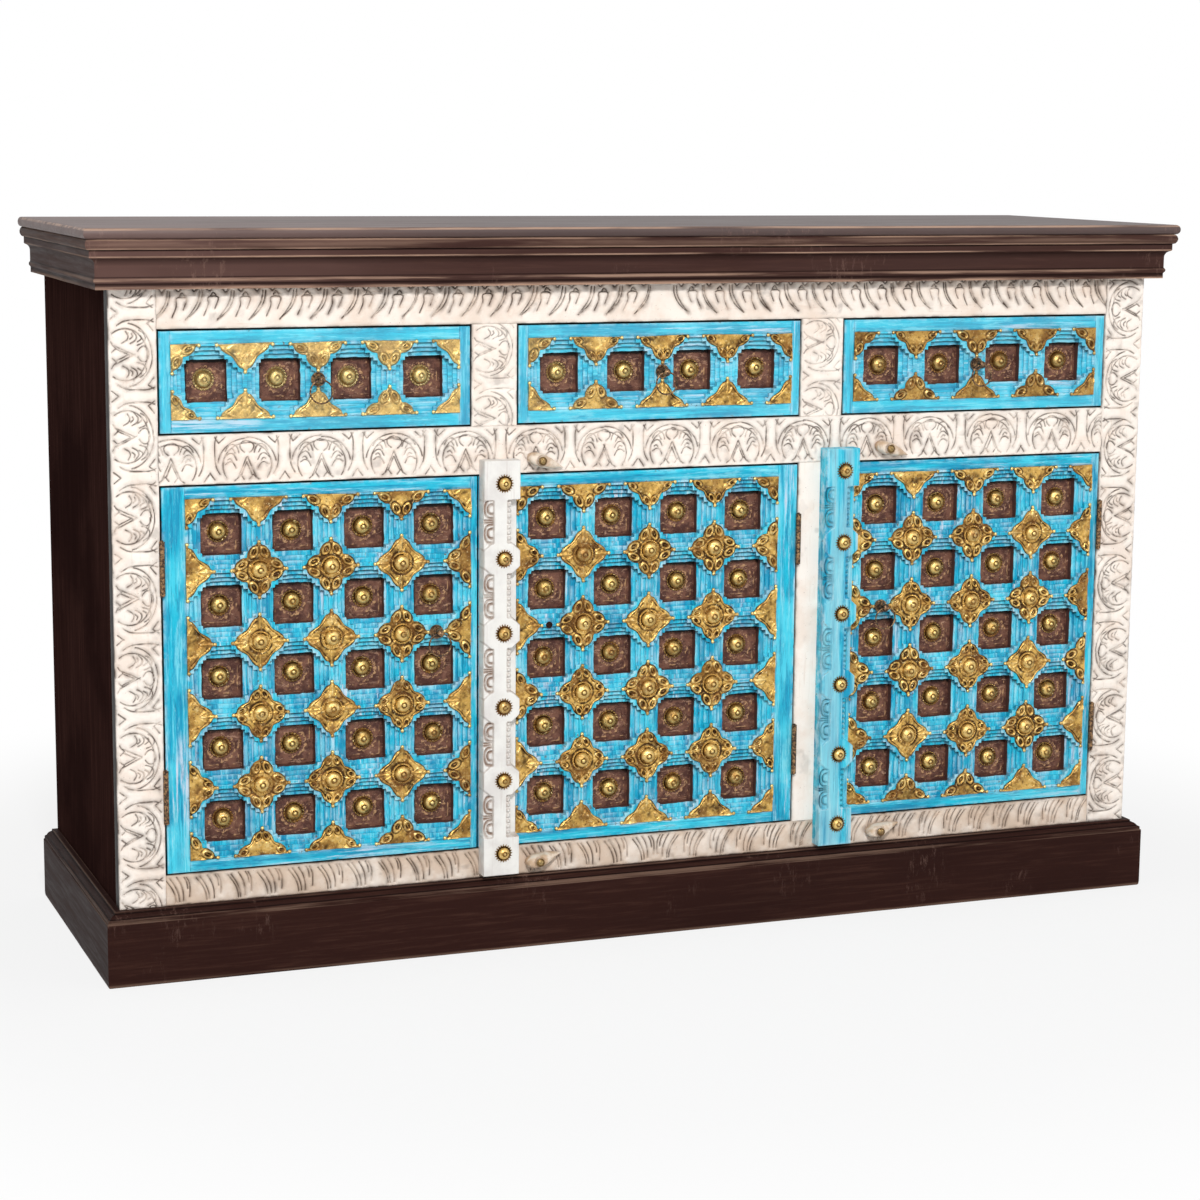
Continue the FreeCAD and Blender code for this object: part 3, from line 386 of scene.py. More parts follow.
class Finish:
    """A material painted in coats over a ground colour, each coat laid on through a mask."""

    def __init__(self, name, ground, metallic=0.0, specular=0.5):
        self.material = bpy.data.materials.new(name)
        self.material.use_nodes = True
        self.tree = self.material.node_tree
        self.shader = self.tree.nodes["Principled BSDF"]
        self.shader.inputs["Metallic"].default_value = metallic
        self.shader.inputs["Specular IOR Level"].default_value = specular
        self.place = self.node("TexCoord").outputs["Object"]
        self.base = self.tint(ground)
        self.normal = None

    def node(self, kind, inputs=None, **settings):
        return add_node(self.tree, kind, inputs, **settings)

    def tint(self, colour):
        """A colour by the name of its property, or as display values from 0 to 255."""
        if isinstance(colour, str):
            return tuple(getattr(bpy.context.scene.sideboard_colours, colour))
        return srgb(*colour)

    def noise(self, scale, stretch=(1, 1, 1), detail=4, roughness=0.55, distortion=0.0):
        """Cloudy values about 0.5; a stretch under 1 draws them out along that axis."""
        mapping = self.node("Mapping", {"Scale": stretch, "Vector": self.place})
        feeds = {"Vector": mapping.outputs[0], "Scale": scale, "Detail": detail,
                 "Roughness": roughness, "Distortion": distortion}
        return self.node("TexNoise", feeds).outputs[0]

    def along(self, axis):
        """Distance along X, Y or Z from the middle of the floor under the sideboard."""
        return self.node("SeparateXYZ", {0: self.place}).outputs[axis]

    def attribute(self, name):
        return self.node("Attribute", attribute_name=name).outputs["Fac"]

    def band(self, value, low, high, start=0.0, end=1.0):
        """Values from low to high become start to end, smoothly."""
        limits = {"Value": value, "From Min": low, "From Max": high, "To Min": start, "To Max": end}
        return self.node("MapRange", limits, interpolation_type="SMOOTHSTEP").outputs["Result"]

    def times(self, first, second):
        product = self.node("Math", {0: first, 1: second}, operation="MULTIPLY", use_clamp=True)
        return product.outputs[0]

    def lay(self, share, colour):
        """Cover what is there with a colour, as far as the share says."""
        inputs = {0: share, 6: self.base, 7: self.tint(colour)}
        self.base = self.node("Mix", inputs, data_type="RGBA").outputs[2]

    def coat(self, value, low, high, colour, most=1.0):
        """Lay a colour where the value goes from low to high."""
        self.lay(self.band(value, low, high, 0.0, most), colour)

    def corner(self, reach):
        """1 near sharp outer edges, 0 on flats."""
        bevel = self.node("Bevel", {"Radius": reach}, samples=4)
        shape = self.node("NewGeometry")
        normals = {0: bevel.outputs["Normal"], 1: shape.outputs["Normal"]}
        dot = self.node("VectorMath", normals, operation="DOT_PRODUCT")
        return self.band(dot.outputs["Value"], 0.995, 0.9)

    def bump(self, height, distance, strength):
        inputs = {"Strength": strength, "Distance": distance, "Height": height}
        if self.normal is not None:
            inputs["Normal"] = self.normal
        self.normal = self.node("Bump", inputs).outputs["Normal"]

    def finish(self, roughness):
        """Connect the coats, the roughness and the bumps made so far."""
        feed(self.tree, self.shader, "Base Color", self.base)
        feed(self.tree, self.shader, "Roughness", roughness)
        if self.normal is not None:
            feed(self.tree, self.shader, "Normal", self.normal)
        return self.material

    def rough(self, value, low, high):
        """Finish with a roughness that follows a cloudy value."""
        return self.finish(self.band(value, 0.3, 0.7, low, high))


# Stretch of the noise for wood that runs along each axis
GRAIN = {"x": (0.05, 1, 1), "y": (1, 0.05, 1), "z": (1, 1, 0.05)}


def shorter(stretch, power):
    """The same grain, less drawn out."""
    return tuple(share ** power for share in stretch)


@cache
def turquoise(grain, deep=True):
    """Brushed paint, rubbed pale along the grain and worn off the edges, with painted shade under
    the ledges, in the sunk strips and on the sides, and painted light on the drawers.
    """
    name = "turquoise_paint_%s%s" % (grain, "" if deep else "_strip")
    f = Finish(name, "turquoise", specular=0.35)
    stretch = GRAIN[grain]
    strokes = f.noise(85, stretch, 6, 0.7)
    f.coat(strokes, 0.4, 0.62, "turquoise_deep")
    f.coat(f.noise(12), 0.45, 0.7, (92, 224, 244), 0.6)
    hairs = f.noise(240, stretch, 5, 0.75)
    f.coat(hairs, 0.52, 0.64, (132, 226, 240), 0.7)
    f.coat(hairs, 0.47, 0.37, (0, 124, 168), 0.8)
    streak = f.band(f.noise(120, stretch, 8, 0.75), 0.53, 0.62)
    f.lay(f.times(streak, f.band(f.noise(17, shorter(stretch, 0.4), 5), 0.47, 0.62)), "rubbed")
    wear, grime = f.attribute("wear"), f.attribute("grime")
    f.lay(f.times(wear, f.band(f.noise(60, detail=5), 0.42, 0.62, 0, 0.6)), (206, 232, 242))
    # Near-black teal laid as painted shade under the lattice's ledges and in the batten's sunk
    # strips.
    f.lay(f.times(f.band(grime, 0.3, 1.0), f.band(f.noise(45), 0.3, 0.6, 0.7, 1)), (6, 26, 36))
    f.lay(f.times(wear, f.band(f.noise(150), 0.64, 0.7)), (106, 78, 62))
    f.coat(f.noise(95, stretch, 5, 0.8), 0.64, 0.7, (20, 96, 122), 0.7)
    mottle = f.noise(48, shorter(stretch, 0.5), 7, 0.75)
    f.coat(mottle, 0.53, 0.63, (0, 118, 156), 0.5)
    f.coat(mottle, 0.45, 0.36, (150, 226, 238), 0.45)
    # Painted light: the drawers, above the doors, paler as if lit more strongly.
    f.coat(f.along("Z"), 0.64, 0.7, (128, 216, 236), 0.2)
    if deep:
        # Painted shade, near black, on the boards' sides, deepening into the gaps.
        f.coat(f.attribute("hidden"), 0.02, 0.22, (8, 9, 10))
        f.coat(f.attribute("bare"), 0.0, 0.16, (84, 58, 54))
    else:
        f.coat(f.noise(60, GRAIN["z"], 6), 0.46, 0.6, (160, 214, 224), 0.55)
    f.bump(strokes, 0.5 * MM, 0.6)
    f.bump(f.noise(900, detail=2), 0.06 * MM, 0.5)
    return f.rough(strokes, 0.42, 0.6)


@cache
def whitewash(grain, aged=0.0):
    """Cream wash over wood, brown where it was wiped out of the carved lines, with painted shade
    beside them, along the board's edges and on its sides.
    """
    f = Finish("carved_whitewash_%s_%g" % (grain, aged), "wash", specular=0.35)
    clouds = f.noise(22, detail=5, roughness=0.6)
    fibres = f.noise(260, GRAIN[grain], 5, 0.7)
    f.coat(clouds, 0.42, 0.68, "wash_shade", 0.85)
    f.coat(fibres, 0.56, 0.75, (216, 190, 168), 0.4)
    f.lay(f.times(f.band(clouds, 0.3, 0.6, 0.3, 0.85), aged), (204, 176, 150))
    uneven = f.band(f.noise(60, detail=6), 0.4, 0.58, 0.35, 1.0)
    # The stain mask also brings the painted shade beside the lines and along the board's edges.
    f.lay(f.times(f.attribute("stain"), uneven), "stain")
    f.coat(f.noise(420, detail=2), 0.7, 0.76, (120, 92, 74), 0.6)
    # Painted shade, near black, on the board's sides, deepening into the gaps.
    f.coat(f.attribute("hidden"), 0.02, 0.25, (14, 10, 8))
    f.bump(fibres, 0.25 * MM, 0.6)
    f.bump(clouds, 0.6 * MM, 0.35)
    return f.rough(clouds, 0.5, 0.66)


@cache
def button_wash():
    """Yellowed cream, brown from handling round the screw, with painted shade browning its sides
    towards the foot.
    """
    f = Finish("button_whitewash", (240, 224, 206), specular=0.4)
    clouds = f.noise(60, detail=5)
    f.coat(clouds, 0.4, 0.62, (206, 176, 146))
    f.lay(f.times(f.attribute("stain"), f.band(f.noise(130), 0.3, 0.6, 0.5, 1)), (128, 88, 54))
    f.bump(clouds, 0.4 * MM, 0.5)
    return f.rough(clouds, 0.4, 0.55)


@cache
def batten_white():
    """Flat white paint, greyer in clouds and streaks, and brown on the steep walls and scroll lines
    of the carving.
    """
    f = Finish("white_paint", "batten_white", specular=0.4)
    clouds = f.noise(30, detail=5)
    f.coat(clouds, 0.4, 0.7, (222, 218, 214))
    f.coat(f.noise(180, GRAIN["z"], 6), 0.58, 0.72, (204, 194, 186), 0.5)
    f.lay(f.times(f.attribute("stain"), f.band(f.noise(90), 0.3, 0.6, 0.3, 0.9)), (150, 122, 104))
    f.bump(clouds, 0.4 * MM, 0.4)
    return f.rough(clouds, 0.42, 0.56)


@cache
def dark_wood(grain, specular=0.03):
    """Espresso stained wood with fine grain and edges rubbed pale, a painted sheen high on the
    left, and painted shade in the mouldings' concave parts and on the returns.
    """
    f = Finish("dark_wood_%s_%g" % (grain, specular), "walnut", specular=specular)
    stretch = GRAIN[grain]
    fibres = f.noise(170, stretch, 8, 0.7, 0.4)
    clouds = f.noise(9, shorter(stretch, 0.5))
    f.coat(fibres, 0.45, 0.75, "walnut_light", 0.6)
    f.coat(clouds, 0.4, 0.7, (36, 20, 18), 0.5)
    # Painted sheen: paler on the cornice and top, most towards the left end.
    painted_sheen = f.times(f.band(f.along("Z"), 0.5, 0.8), f.band(f.along("X"), -0.7, -0.1, 0.75, 0.25))
    f.lay(f.times(painted_sheen, f.band(clouds, 0.3, 0.6, 0.5, 1)), (104, 78, 72))
    # Painted shade in the concave parts of the mouldings.
    f.coat(f.attribute("hollow"), 0.1, 0.8, (22, 11, 9), 0.85)
    rub = f.times(f.band(f.attribute("wear"), 0.25, 0.9),
                  f.band(f.noise(120, stretch, 6), 0.36, 0.6))
    f.lay(f.times(rub, f.band(f.along("Z"), 0.1, 0.8, 0.3, 1.0)), "worn_wood")
    scuff = f.band(f.noise(130, (1, 1, 0.3), 7, 0.8), 0.52, 0.64, 0, 0.4)
    f.lay(f.times(scuff, f.band(f.noise(7, detail=3), 0.55, 0.66)), (126, 98, 88))
    # Painted shade: the returns, facing sideways, darker than the fronts.
    f.lay(0.45 if grain == "y" else 0.0, (22, 12, 11))
    f.bump(fibres, 0.2 * MM, 0.5)
    return f.rough(fibres, 0.44, 0.62)


@cache
def panel_wood(grain):
    """The same dark stain on flat panels, with edges found by the shape."""
    f = Finish("panel_wood_" + grain, (52, 32, 29), specular=0.0)
    fibres = f.noise(120, GRAIN[grain], 8, 0.68, 0.6)
    clouds = f.noise(5)
    f.coat(fibres, 0.42, 0.72, (70, 46, 41))
    f.coat(clouds, 0.42, 0.66, (36, 21, 20), 0.7)
    rub = f.times(f.corner(1.6 * MM), f.band(f.noise(90, detail=5), 0.4, 0.6))
    f.lay(f.times(rub, 0.7), "worn_wood")
    f.bump(fibres, 0.2 * MM, 0.5)
    return f.rough(clouds, 0.55, 0.7)


@cache
def inner_wood(grain):
    """Bare sheesham boards."""
    f = Finish("inner_wood_" + grain, "inner_wood", specular=0.3)
    fibres = f.noise(80, GRAIN[grain], 8, 0.66, 1.2)
    f.coat(fibres, 0.38, 0.7, (112, 76, 48))
    f.coat(f.noise(6, detail=3), 0.45, 0.7, (168, 128, 90), 0.5)
    f.bump(fibres, 0.2 * MM, 0.5)
    return f.rough(fibres, 0.55, 0.7)


@cache
def recess_wood(name="recess_brown", stretch=(1, 1, 1)):
    """Rough brown board, pale where it is scuffed or beaten up into petals, near black in painted
    shadow at a recess floor's top and left edges.
    """
    f = Finish(name, "recess_wood", specular=0.3)
    clouds = f.noise(60, stretch, 6, 0.7)
    f.coat(clouds, 0.4, 0.58, (76, 44, 37))
    scratch = f.band(f.noise(170, (0.4, 1, stretch[2]), 8, 0.8, 1), 0.55, 0.62, 0, 0.8)
    f.lay(scratch, (188, 148, 122))
    # The painted light of each point: pale on the petals, near black where painted shadow falls.
    relief = f.attribute("relief")
    f.coat(relief, 0.2, 0.8, (200, 156, 112), 0.8)
    f.coat(relief, -0.1, -0.9, (16, 9, 8))
    f.bump(clouds, 0.9 * MM, 0.8)
    f.bump(scratch, 0.3 * MM, 0.6)
    return f.rough(clouds, 0.45, 0.65)


@cache
def brass(name="aged_brass", tarnish=0.0):
    """Hammered sheet brass, with a painted highlight on what stands out and brown in the hollows,
    partly tarnish and partly painted shade.
    """
    f = Finish(name, "brass_dark", metallic=0.8)
    relief = f.attribute("relief")
    patina = f.noise(55, detail=6, roughness=0.65)
    # Painted light: brass where lit, brown tarnish and painted shade where low, a painted highlight
    # where high.
    f.coat(relief, 0.2, 0.68, "brass")
    f.coat(relief, 0.62, 1.0, (240, 214, 146), 0.75)
    f.coat(patina, 0.48, 0.64, (146, 104, 48), 0.75)
    f.coat(f.noise(24), 0.52, 0.66, (120, 78, 40), 0.6)
    beaten = f.noise(230, detail=6, roughness=0.7)
    f.coat(beaten, 0.46, 0.36, (74, 46, 20), 0.75)
    f.coat(beaten, 0.56, 0.66, (244, 222, 164), 0.6)
    # Painted light on the drawers' brass: paler towards the left end, darker towards the right.
    drawers = f.band(f.along("Z"), 0.66, 0.7)
    f.lay(f.times(drawers, f.band(f.along("X"), -0.4, 0.1, 0.2, 0)), (250, 232, 170))
    f.lay(f.times(drawers, f.band(f.along("X"), 0.0, 0.6, 0, 0.45)), (112, 76, 38))
    f.lay(tarnish, (92, 74, 60))
    f.bump(patina, 0.8 * MM, 0.8)
    f.bump(beaten, 0.8 * MM, 0.9)
    return f.rough(patina, 0.3, 0.5)


@cache
def iron():
    """Blackened bronze with warm worn highlights."""
    f = Finish("dark_iron", "iron", metallic=0.75)
    spots = f.noise(320, detail=5, roughness=0.7)
    f.coat(spots, 0.42, 0.6, (166, 130, 92))
    f.coat(f.noise(90), 0.5, 0.62, (48, 36, 32), 0.6)
    f.bump(spots, 0.25 * MM, 0.6)
    return f.rough(spots, 0.32, 0.5)


@cache
# Near black flecked brown: painted shade standing for the inside of the empty pull hole, on bare
# wood.
def bare_wood_and_hole_shade():
    f = Finish("bare_hole", (24, 14, 12), specular=0.1)
    spots = f.noise(600, detail=3)
    f.coat(spots, 0.4, 0.7, (66, 42, 32))
    f.bump(spots, 0.3 * MM, 0.6)
    return f.finish(0.9)


# Carved motifs, in millimetres: u runs along the strip, v across it from its base

Motif = namedtuple("Motif", "lines pitch width")


def mirrored(lines):
    return lines + [[(-u, v) for u, v in line] for line in lines]


PALMETTE = Motif(mirrored([
    round_line((0, 22), 34.5, 8, 90, 10),
    round_line((0, 22), 28.5, -34, 90, 14),
    [(0, 33), (4.5, 21.5), (10.5, 7)],
    [(0, 26.5), (3.2, 18.5), (6.6, 10)],
    [(3.4, 4.6), (7.6, 10.4), (10.5, 6.4), (14.5, 3.4)],
    curve_through([(0, 52), (5, 50.6), (8.2, 46.5), (7, 41.5), (3, 37.5)]),
    curve_through([(9.5, 38), (12, 45.5), (17, 48.4), (22, 46), (25.4, 40)]),
    curve_through([(14.2, 37.5), (17.2, 42.5), (20.8, 41.4)]),
    curve_through([(12.4, 28.5), (16, 35.4), (21, 36.4), (26.2, 31.5)]),
    curve_through([(16.8, 27.6), (19.4, 31), (22.4, 29.6)]),
    curve_through([(12.6, 18), (16, 24.6), (20.4, 26), (25, 23)]),
    curve_through([(35, 58.5), (37.2, 50), (37.4, 40), (37, 28), (35.4, 19), (31.5, 11)]),
    [(25.5, 57.6), (33.4, 50.2), (38, 58)],
    [(44, 12.5), (38.2, 3.6)],
]), 88.0, 62.0)
SLANT = Motif([curve_through(line) for line in (
    [(0, 46.5), (-1.7, 33.7), (-7.7, 21.8), (-16.3, 10.3)],
    [(3.2, 46.5), (1.7, 34.5), (-4.2, 22), (-16.3, 10.3)],
    [(-31.7, 14.8), (-26.6, 27.7), (-26.8, 36), (-24, 38.8), (-17.4, 38.8), (-14.8, 35.5),
     (-18.9, 23.8)],
    [(-23, 40.6), (-20.5, 44.5), (-17, 41)],
    [(-10, 49.4), (-6.5, 45), (-3, 49.4)],
    [(-28, 49.4), (-24.5, 45.6), (-21, 49.4)],
)], 36.0, 49.5)
SLASH = Motif([curve_through(line) for line in (
    [(-12, 33), (-5, 22), (-1.2, 12), (0, 3)],
    [(-7.5, 34), (-1.4, 23), (2.4, 12), (3.2, 3)],
    [(0.5, 35), (5.5, 25), (8, 14), (8.2, 4)],
    [(8.5, 35), (11.5, 28), (12.6, 20)],
    [(12, 35), (15.4, 27), (16, 17), (15.6, 9)],
)], 35.0, 38.5)


# Unevenness of the carving, in millimetres
STROKE_SHIFT = 0.45
MOTIF_LEAN = 0.012
CARVED_WAVES = ((0.28, 16, 12), (0.12, 3.5, 3.5))
SMUDGE_WAVES = ((1, 30, 18), (0.5, 8, 8))
PILLOW_REACH = 5.5
STAIN_WIDTH, SHADE_WIDTH = 0.72, 3.4
NO_LINES = 50.0


def strokes_at(u, v, lines, centre, stretch, seed):
    """Distance to one motif, stretched to fit and drawn a little unevenly by hand."""
    rng = np.random.default_rng(seed)
    drawn = []
    for line in lines:
        shift = rng.normal(0, STROKE_SHIFT, 2)
        drawn.append([(a + shift[0], b + shift[1]) for a, b in line])
    lean = rng.normal(0, MOTIF_LEAN)
    local_u = (u - centre) / stretch[0]
    return nearest_line(local_u, v / stretch[1] + lean * local_u, drawn)


def carved_field(u, v, motif, centres, stretch, seed, turned_half=False):
    """Distance to the motifs along a strip, those past its middle turned round if wanted."""
    nearest = np.full(u.shape, FAR)
    for number, centre in enumerate(centres):
        close = np.abs(u - centre) < motif.pitch * stretch[0] * 1.15
        if close.any():
            sign = -1 if turned_half and centre >= 0 else 1
            lines = [[(a * sign, b) for a, b in line] for line in motif.lines]
            there = strokes_at(u[close], v[close], lines, centre, stretch, seed + number)
            nearest[close] = np.minimum(nearest[close], there)
    return nearest


def carve(nearest, u, v, width, seed, strength=1.0):
    """Height in metres, and stain from 0 to 1 of a surface carved at these distances, with painted
    shade beside the lines and painted shadow along the board's long edges.
    """
    sizes = bpy.context.scene.sideboard_carving
    half, deep = sizes.half_width / MM, sizes.depth / MM
    wobble = 1 + 0.3 * soft_noise(u, v, 9, 9, seed + 1)
    groove = 1 - smooth_step(nearest, 0, half * wobble)
    pillow = smooth_step(nearest, 0, PILLOW_REACH) - 1
    height = -deep * groove * strength + sizes.pillow / MM * pillow * strength
    height += unevenness(u, v, CARVED_WAVES, seed + 2)
    stain = ridge(nearest, 0, STAIN_WIDTH * wobble) * (0.55 + 0.45 * strength)
    # Broad painted shade beside each line, uneven in strength.
    shade = 0.5 + 0.9 * soft_noise(u, v, 21, 17, seed + 4)
    stain = np.maximum(stain, 0.4 * strength * ridge(nearest, 0, SHADE_WIDTH) * shade)
    # Painted shadow along the board's two long edges, where it meets the gaps.
    grime = fade(np.minimum(v, width - v), 1.6) * (0.55 + 0.5 * soft_noise(u, v, 22, 9, seed + 5))
    smudge = 0.35 * smooth_step(unevenness(u, v, SMUDGE_WAVES, seed + 6), 0.62, 1.1)
    return height * MM, np.clip(np.maximum(np.maximum(stain, grime), smudge), 0, 1)


def motif_carving(motif, centres, seed, turned_half=False, strength=1.0):
    """A carving for carved_board: motifs at given centres, stretched to the strip's width."""
    def carving(u, v, width):
        stretch = (abs(centres[1] - centres[0]) / motif.pitch, width / motif.width)
        nearest = carved_field(u, v, motif, centres, stretch, seed, turned_half)
        return carve(nearest, u, v, width, seed, strength)
    return carving


def carved_board(piece_name, node_name, strip, carving, material, sides=None, foot=0.0):
    """Replace a rail or stile, or one side of it, by a board carved where it shows.

    A strip along x is measured from its lower edge, a strip along z from the first of its sides.
    """
    low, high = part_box(node_name)
    shown_foot, shown_head = max(low.z, PLINTH_TOP), min(high.z, CORNICE_FOOT)
    start, end = sides or ((low.x, high.x) if low.x < 0 else (high.x, low.x))
    left, right = sorted((start, end))
    step = bpy.context.scene.sideboard_carving.grid
    across = board_lines(left, right, step, CARVED_EDGE)
    up = np.concatenate([[low.z] if low.z < shown_foot else [],
                         board_lines(shown_foot, shown_head, step, CARVED_EDGE),
                         [high.z] if high.z > shown_head else []])
    x, z = np.meshgrid(across, up)
    if strip == "x":
        u, v, width = x / MM, (z - shown_foot) / MM, (shown_head - shown_foot) / MM
    else:
        u, v, width = (z - foot) / MM, np.abs(x - start) / MM, (right - left) / MM
    height, stain = carving(u, v, width)
    height -= edge_drop(rim_distance(x, z, left, right, shown_foot, shown_head), CARVED_EDGE)
    board = relief_board(piece_name, across, up, height, low.y, high.y, {"stain": stain})
    dress(board, material, "carcass", "carved_whitewash", node_name)


class SIDEBOARD_OT_carved_rails(Operator):
    """Carve the top, middle and bottom rails"""

    bl_idname = "sideboard.carved_rails"
    bl_label = "Carved Rails"

    def execute(self, context):
        arches = [-651 + 95.3 * k for k in range(15)]
        slants = [39.5 * (k + 0.5) for k in range(-17, 17)]
        slashes = [39.6 * (k + 0.5) for k in range(-17, 17)]
        for name, carving, wash in (
                ("mid_rail", motif_carving(PALMETTE, arches, 11), whitewash("x")),
                ("top_rail", motif_carving(SLANT, slants, 47, True, 1.3), whitewash("x", aged=0.3)),
                ("bottom_rail", motif_carving(SLASH, slashes, 83, True), whitewash("x", aged=0.8))):
            carved_board(name + "_carved", name, "x", carving, wash)
        return {"FINISHED"}


class SIDEBOARD_OT_carved_stiles(Operator):
    """Carve the outer stiles and the uprights between the drawers and doors"""

    bl_idname = "sideboard.carved_stiles"
    bl_label = "Carved Stiles"

    def execute(self, context):
        wash = whitewash("z")
        for name, foot, pitch, numbers, seed in (("stile_left", 87.5, 100.5, range(9), 131),
                                                 ("stile_right", 150, 96.8, range(-1, 9), 171)):
            centres = [foot + pitch * k for k in numbers]
            carved_board(name + "_carved", name, "z", motif_carving(PALMETTE, centres, seed), wash)
        carved_board("door_stile_worn", "door_stile", "z", self.plain, wash)
        low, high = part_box("drawer_stiles")
        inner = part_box("door_stile")[0].x
        for side, word in ((-1, "left"), (1, "right")):
            def carving(u, v, width):
                centres = [width * 0.15, width * 1.62]
                nearest = carved_field(u, v, PALMETTE, centres, (1.02, 0.98), 230 + side)
                return carve(nearest, u, v, width, 240 + side, 0.6)
            carved_board("drawer_stile_%s_carved" % word, "drawer_stiles", "z", carving, wash,
                         sorted((inner * side, high.x * side)), low.z)
        return {"FINISHED"}

    def plain(self, u, v, width):
        height, stain = carve(np.full(u.shape, NO_LINES), u, v, width, 207)
        return height, stain * 0.6


# Mouldings

MOULDING_STATION = 14 * MM
MOULDING_DENT = 0.25 * MM


def moulding(name, profile, start, end, grain, node_name):
    """A run of moulding. Start and end place each profile point (out, level) in space."""
    first = np.array([start(out, level) for out, level in profile])
    last = np.array([end(out, level) for out, level in profile])
    outline = np.array(profile)
    ahead, behind = np.roll(outline, -1, 0) - outline, outline - np.roll(outline, 1, 0)
    turn = behind[:, 0] * ahead[:, 1] - behind[:, 1] * ahead[:, 0]
    size = np.linalg.norm(ahead, axis=1) * np.linalg.norm(behind, axis=1) + 1e-12
    # Convex turns take wear; concave turns take painted shade in the finish.
    convex, hollow = (np.clip(way * turn / size * 1.4, 0, 1) for way in (-1, 1))
    stations = max(2, round(np.linalg.norm(last[0] - first[0]) / MOULDING_STATION))
    share = np.linspace(0, 1, stations + 1)[:, None, None]
    points = first[None] * (1 - share) + last[None] * share
    u = np.broadcast_to(share[..., 0] * stations, points.shape[:2])
    v = np.broadcast_to(np.arange(len(profile))[None, :] * 1.0, points.shape[:2])
    outer = (outline[:, 0] > 1 * MM)[None, :]
    ends = np.minimum(1, 4 * share[..., 0] * (1 - share[..., 0]))
    dent = MOULDING_DENT * soft_noise(u, v, 3.1, 2.3, len(name)) * outer * ends
    points[..., 2] = np.maximum(points[..., 2] + dent, outline[:, 1].min())
    sides, cap, base = tube_faces(stations + 1, len(profile))
    wear = convex[None, :] * (points[..., 1] < BACK_Y - 1 * MM)
    piece = mesh_object(name, points.reshape(-1, 3), [sides[:, ::-1], base[:, ::-1], cap[:, ::-1]],
                        {"wear": wear, "hollow": np.broadcast_to(hollow, wear.shape)})
    dress(piece, dark_wood(grain), "carcass", "dark_wood", node_name)


def margined(profile, reach=2.4 * MM):
    """The profile with points beside the corners of its long flats, to keep wear on the corners."""
    points = []
    for a, b in zip(profile, profile[1:] + profile[:1]):
        points.append(a)
        span = math.dist(a, b)
        if span > 3 * reach:
            for t in (reach / span, 1 - reach / span):
                points.append(tuple(p + (q - p) * t for p, q in zip(a, b)))
    return points


def mitred_runs(node_name, profile):
    """A front run and two returns, mitred at the corners."""
    profile = margined(profile)

    def front(side):
        return lambda out, level: (side * (HALF_WIDTH + out), FACE_Y - out, level)

    def rear(side):
        return lambda out, level: (side * (HALF_WIDTH + out), BACK_Y, level)

    for word, start, end, grain in (("front", front(-1), front(1), "x"),
                                    ("return_left", rear(-1), front(-1), "y"),
                                    ("return_right", front(1), rear(1), "y")):
        moulding("%s_%s" % (node_name, word), profile, start, end, grain, node_name)


def bow(start, middle, end, steps=5):
    """Points of the arc through three profile points."""
    points = []
    for k in range(steps + 1):
        t = k / steps
        points.append(tuple((1 - t) * (1 - 2 * t) * a + 4 * t * (1 - t) * b + t * (2 * t - 1) * c
                            for a, b, c in zip(start, middle, end)))
    return points


# Profiles from the inner top edge outwards and down, in millimetres out and below the top surface
# for the cornice, and out and above the floor for the others
CORNICE = [(0, 13), (27.5, 13), *bow((29.4, 13.6), (31.9, 19.6), (29.2, 25.6)), (26.4, 26.4),
           (26.4, 35), *bow((25.6, 35.8), (20, 39.6), (18.6, 47)), (18.6, 58.4),
           *bow((18.8, 59.4), (20.6, 62.8), (18.7, 66.2), 4), (18.2, 67), (18.2, 74), (0, 74)]
PLINTH_CAP = [(0, 95.5), (7.6, 95.5), (8.2, 94.9), (8.2, 93.4),
              *bow((8.6, 92.6), (13, 90.9), (15.6, 87.6)), (17.8, 87), (18.5, 86.2), (18.5, 83),
              (0, 83)]
PLINTH = [(0, 83), (18.4, 83), (19.7, 82.4), (20, 81), (20, 6), (19.4, 1.2), (18, 0), (0, 0)]
SLAB_MARGINS = (45 * MM, 14 * MM)
SLAB_STATIONS = 24
NOSE_STEPS = 8
WORN_NOSE_ROWS = (3, 4)


def top_slab():
    """Top board with rounded front and end edges, worn along its nose."""
    low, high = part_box("top_board")
    nose = (high.z - low.z) / 2
    profile = [(inset, high.z) for inset in SLAB_MARGINS]
    for k in range(NOSE_STEPS + 1):
        angle = math.pi * k / NOSE_STEPS
        profile.append((nose * (1 - math.sin(angle)) * 0.72,
                        (low.z + high.z) / 2 + nose * math.cos(angle)))
    profile += [(inset, low.z) for inset in reversed(SLAB_MARGINS)]
    vertices, wear = [], []
    for number, (inset, level) in enumerate(profile):
        corners = [(low.x + inset, high.y, level), (low.x + inset, low.y + inset, level),
                   (high.x - inset, low.y + inset, level), (high.x - inset, high.y, level)]
        for a, b in zip(corners, corners[1:]):
            vertices += [[p + (q - p) * k / SLAB_STATIONS for p, q in zip(a, b)]
                         for k in range(SLAB_STATIONS)]
        vertices.append(corners[-1])
        wear += [0.0] + [float(number in WORN_NOSE_ROWS)] * (SLAB_STATIONS * 3 - 1) + [0.0]
    sides, cap, base = tube_faces(len(profile), SLAB_STATIONS * 3 + 1)
    piece = mesh_object("top_board_worn", np.array(vertices), [sides, base, cap],
                        {"wear": np.array(wear)})
    dress(piece, dark_wood("x", specular=0.65), "carcass", "dark_wood", "top_board")


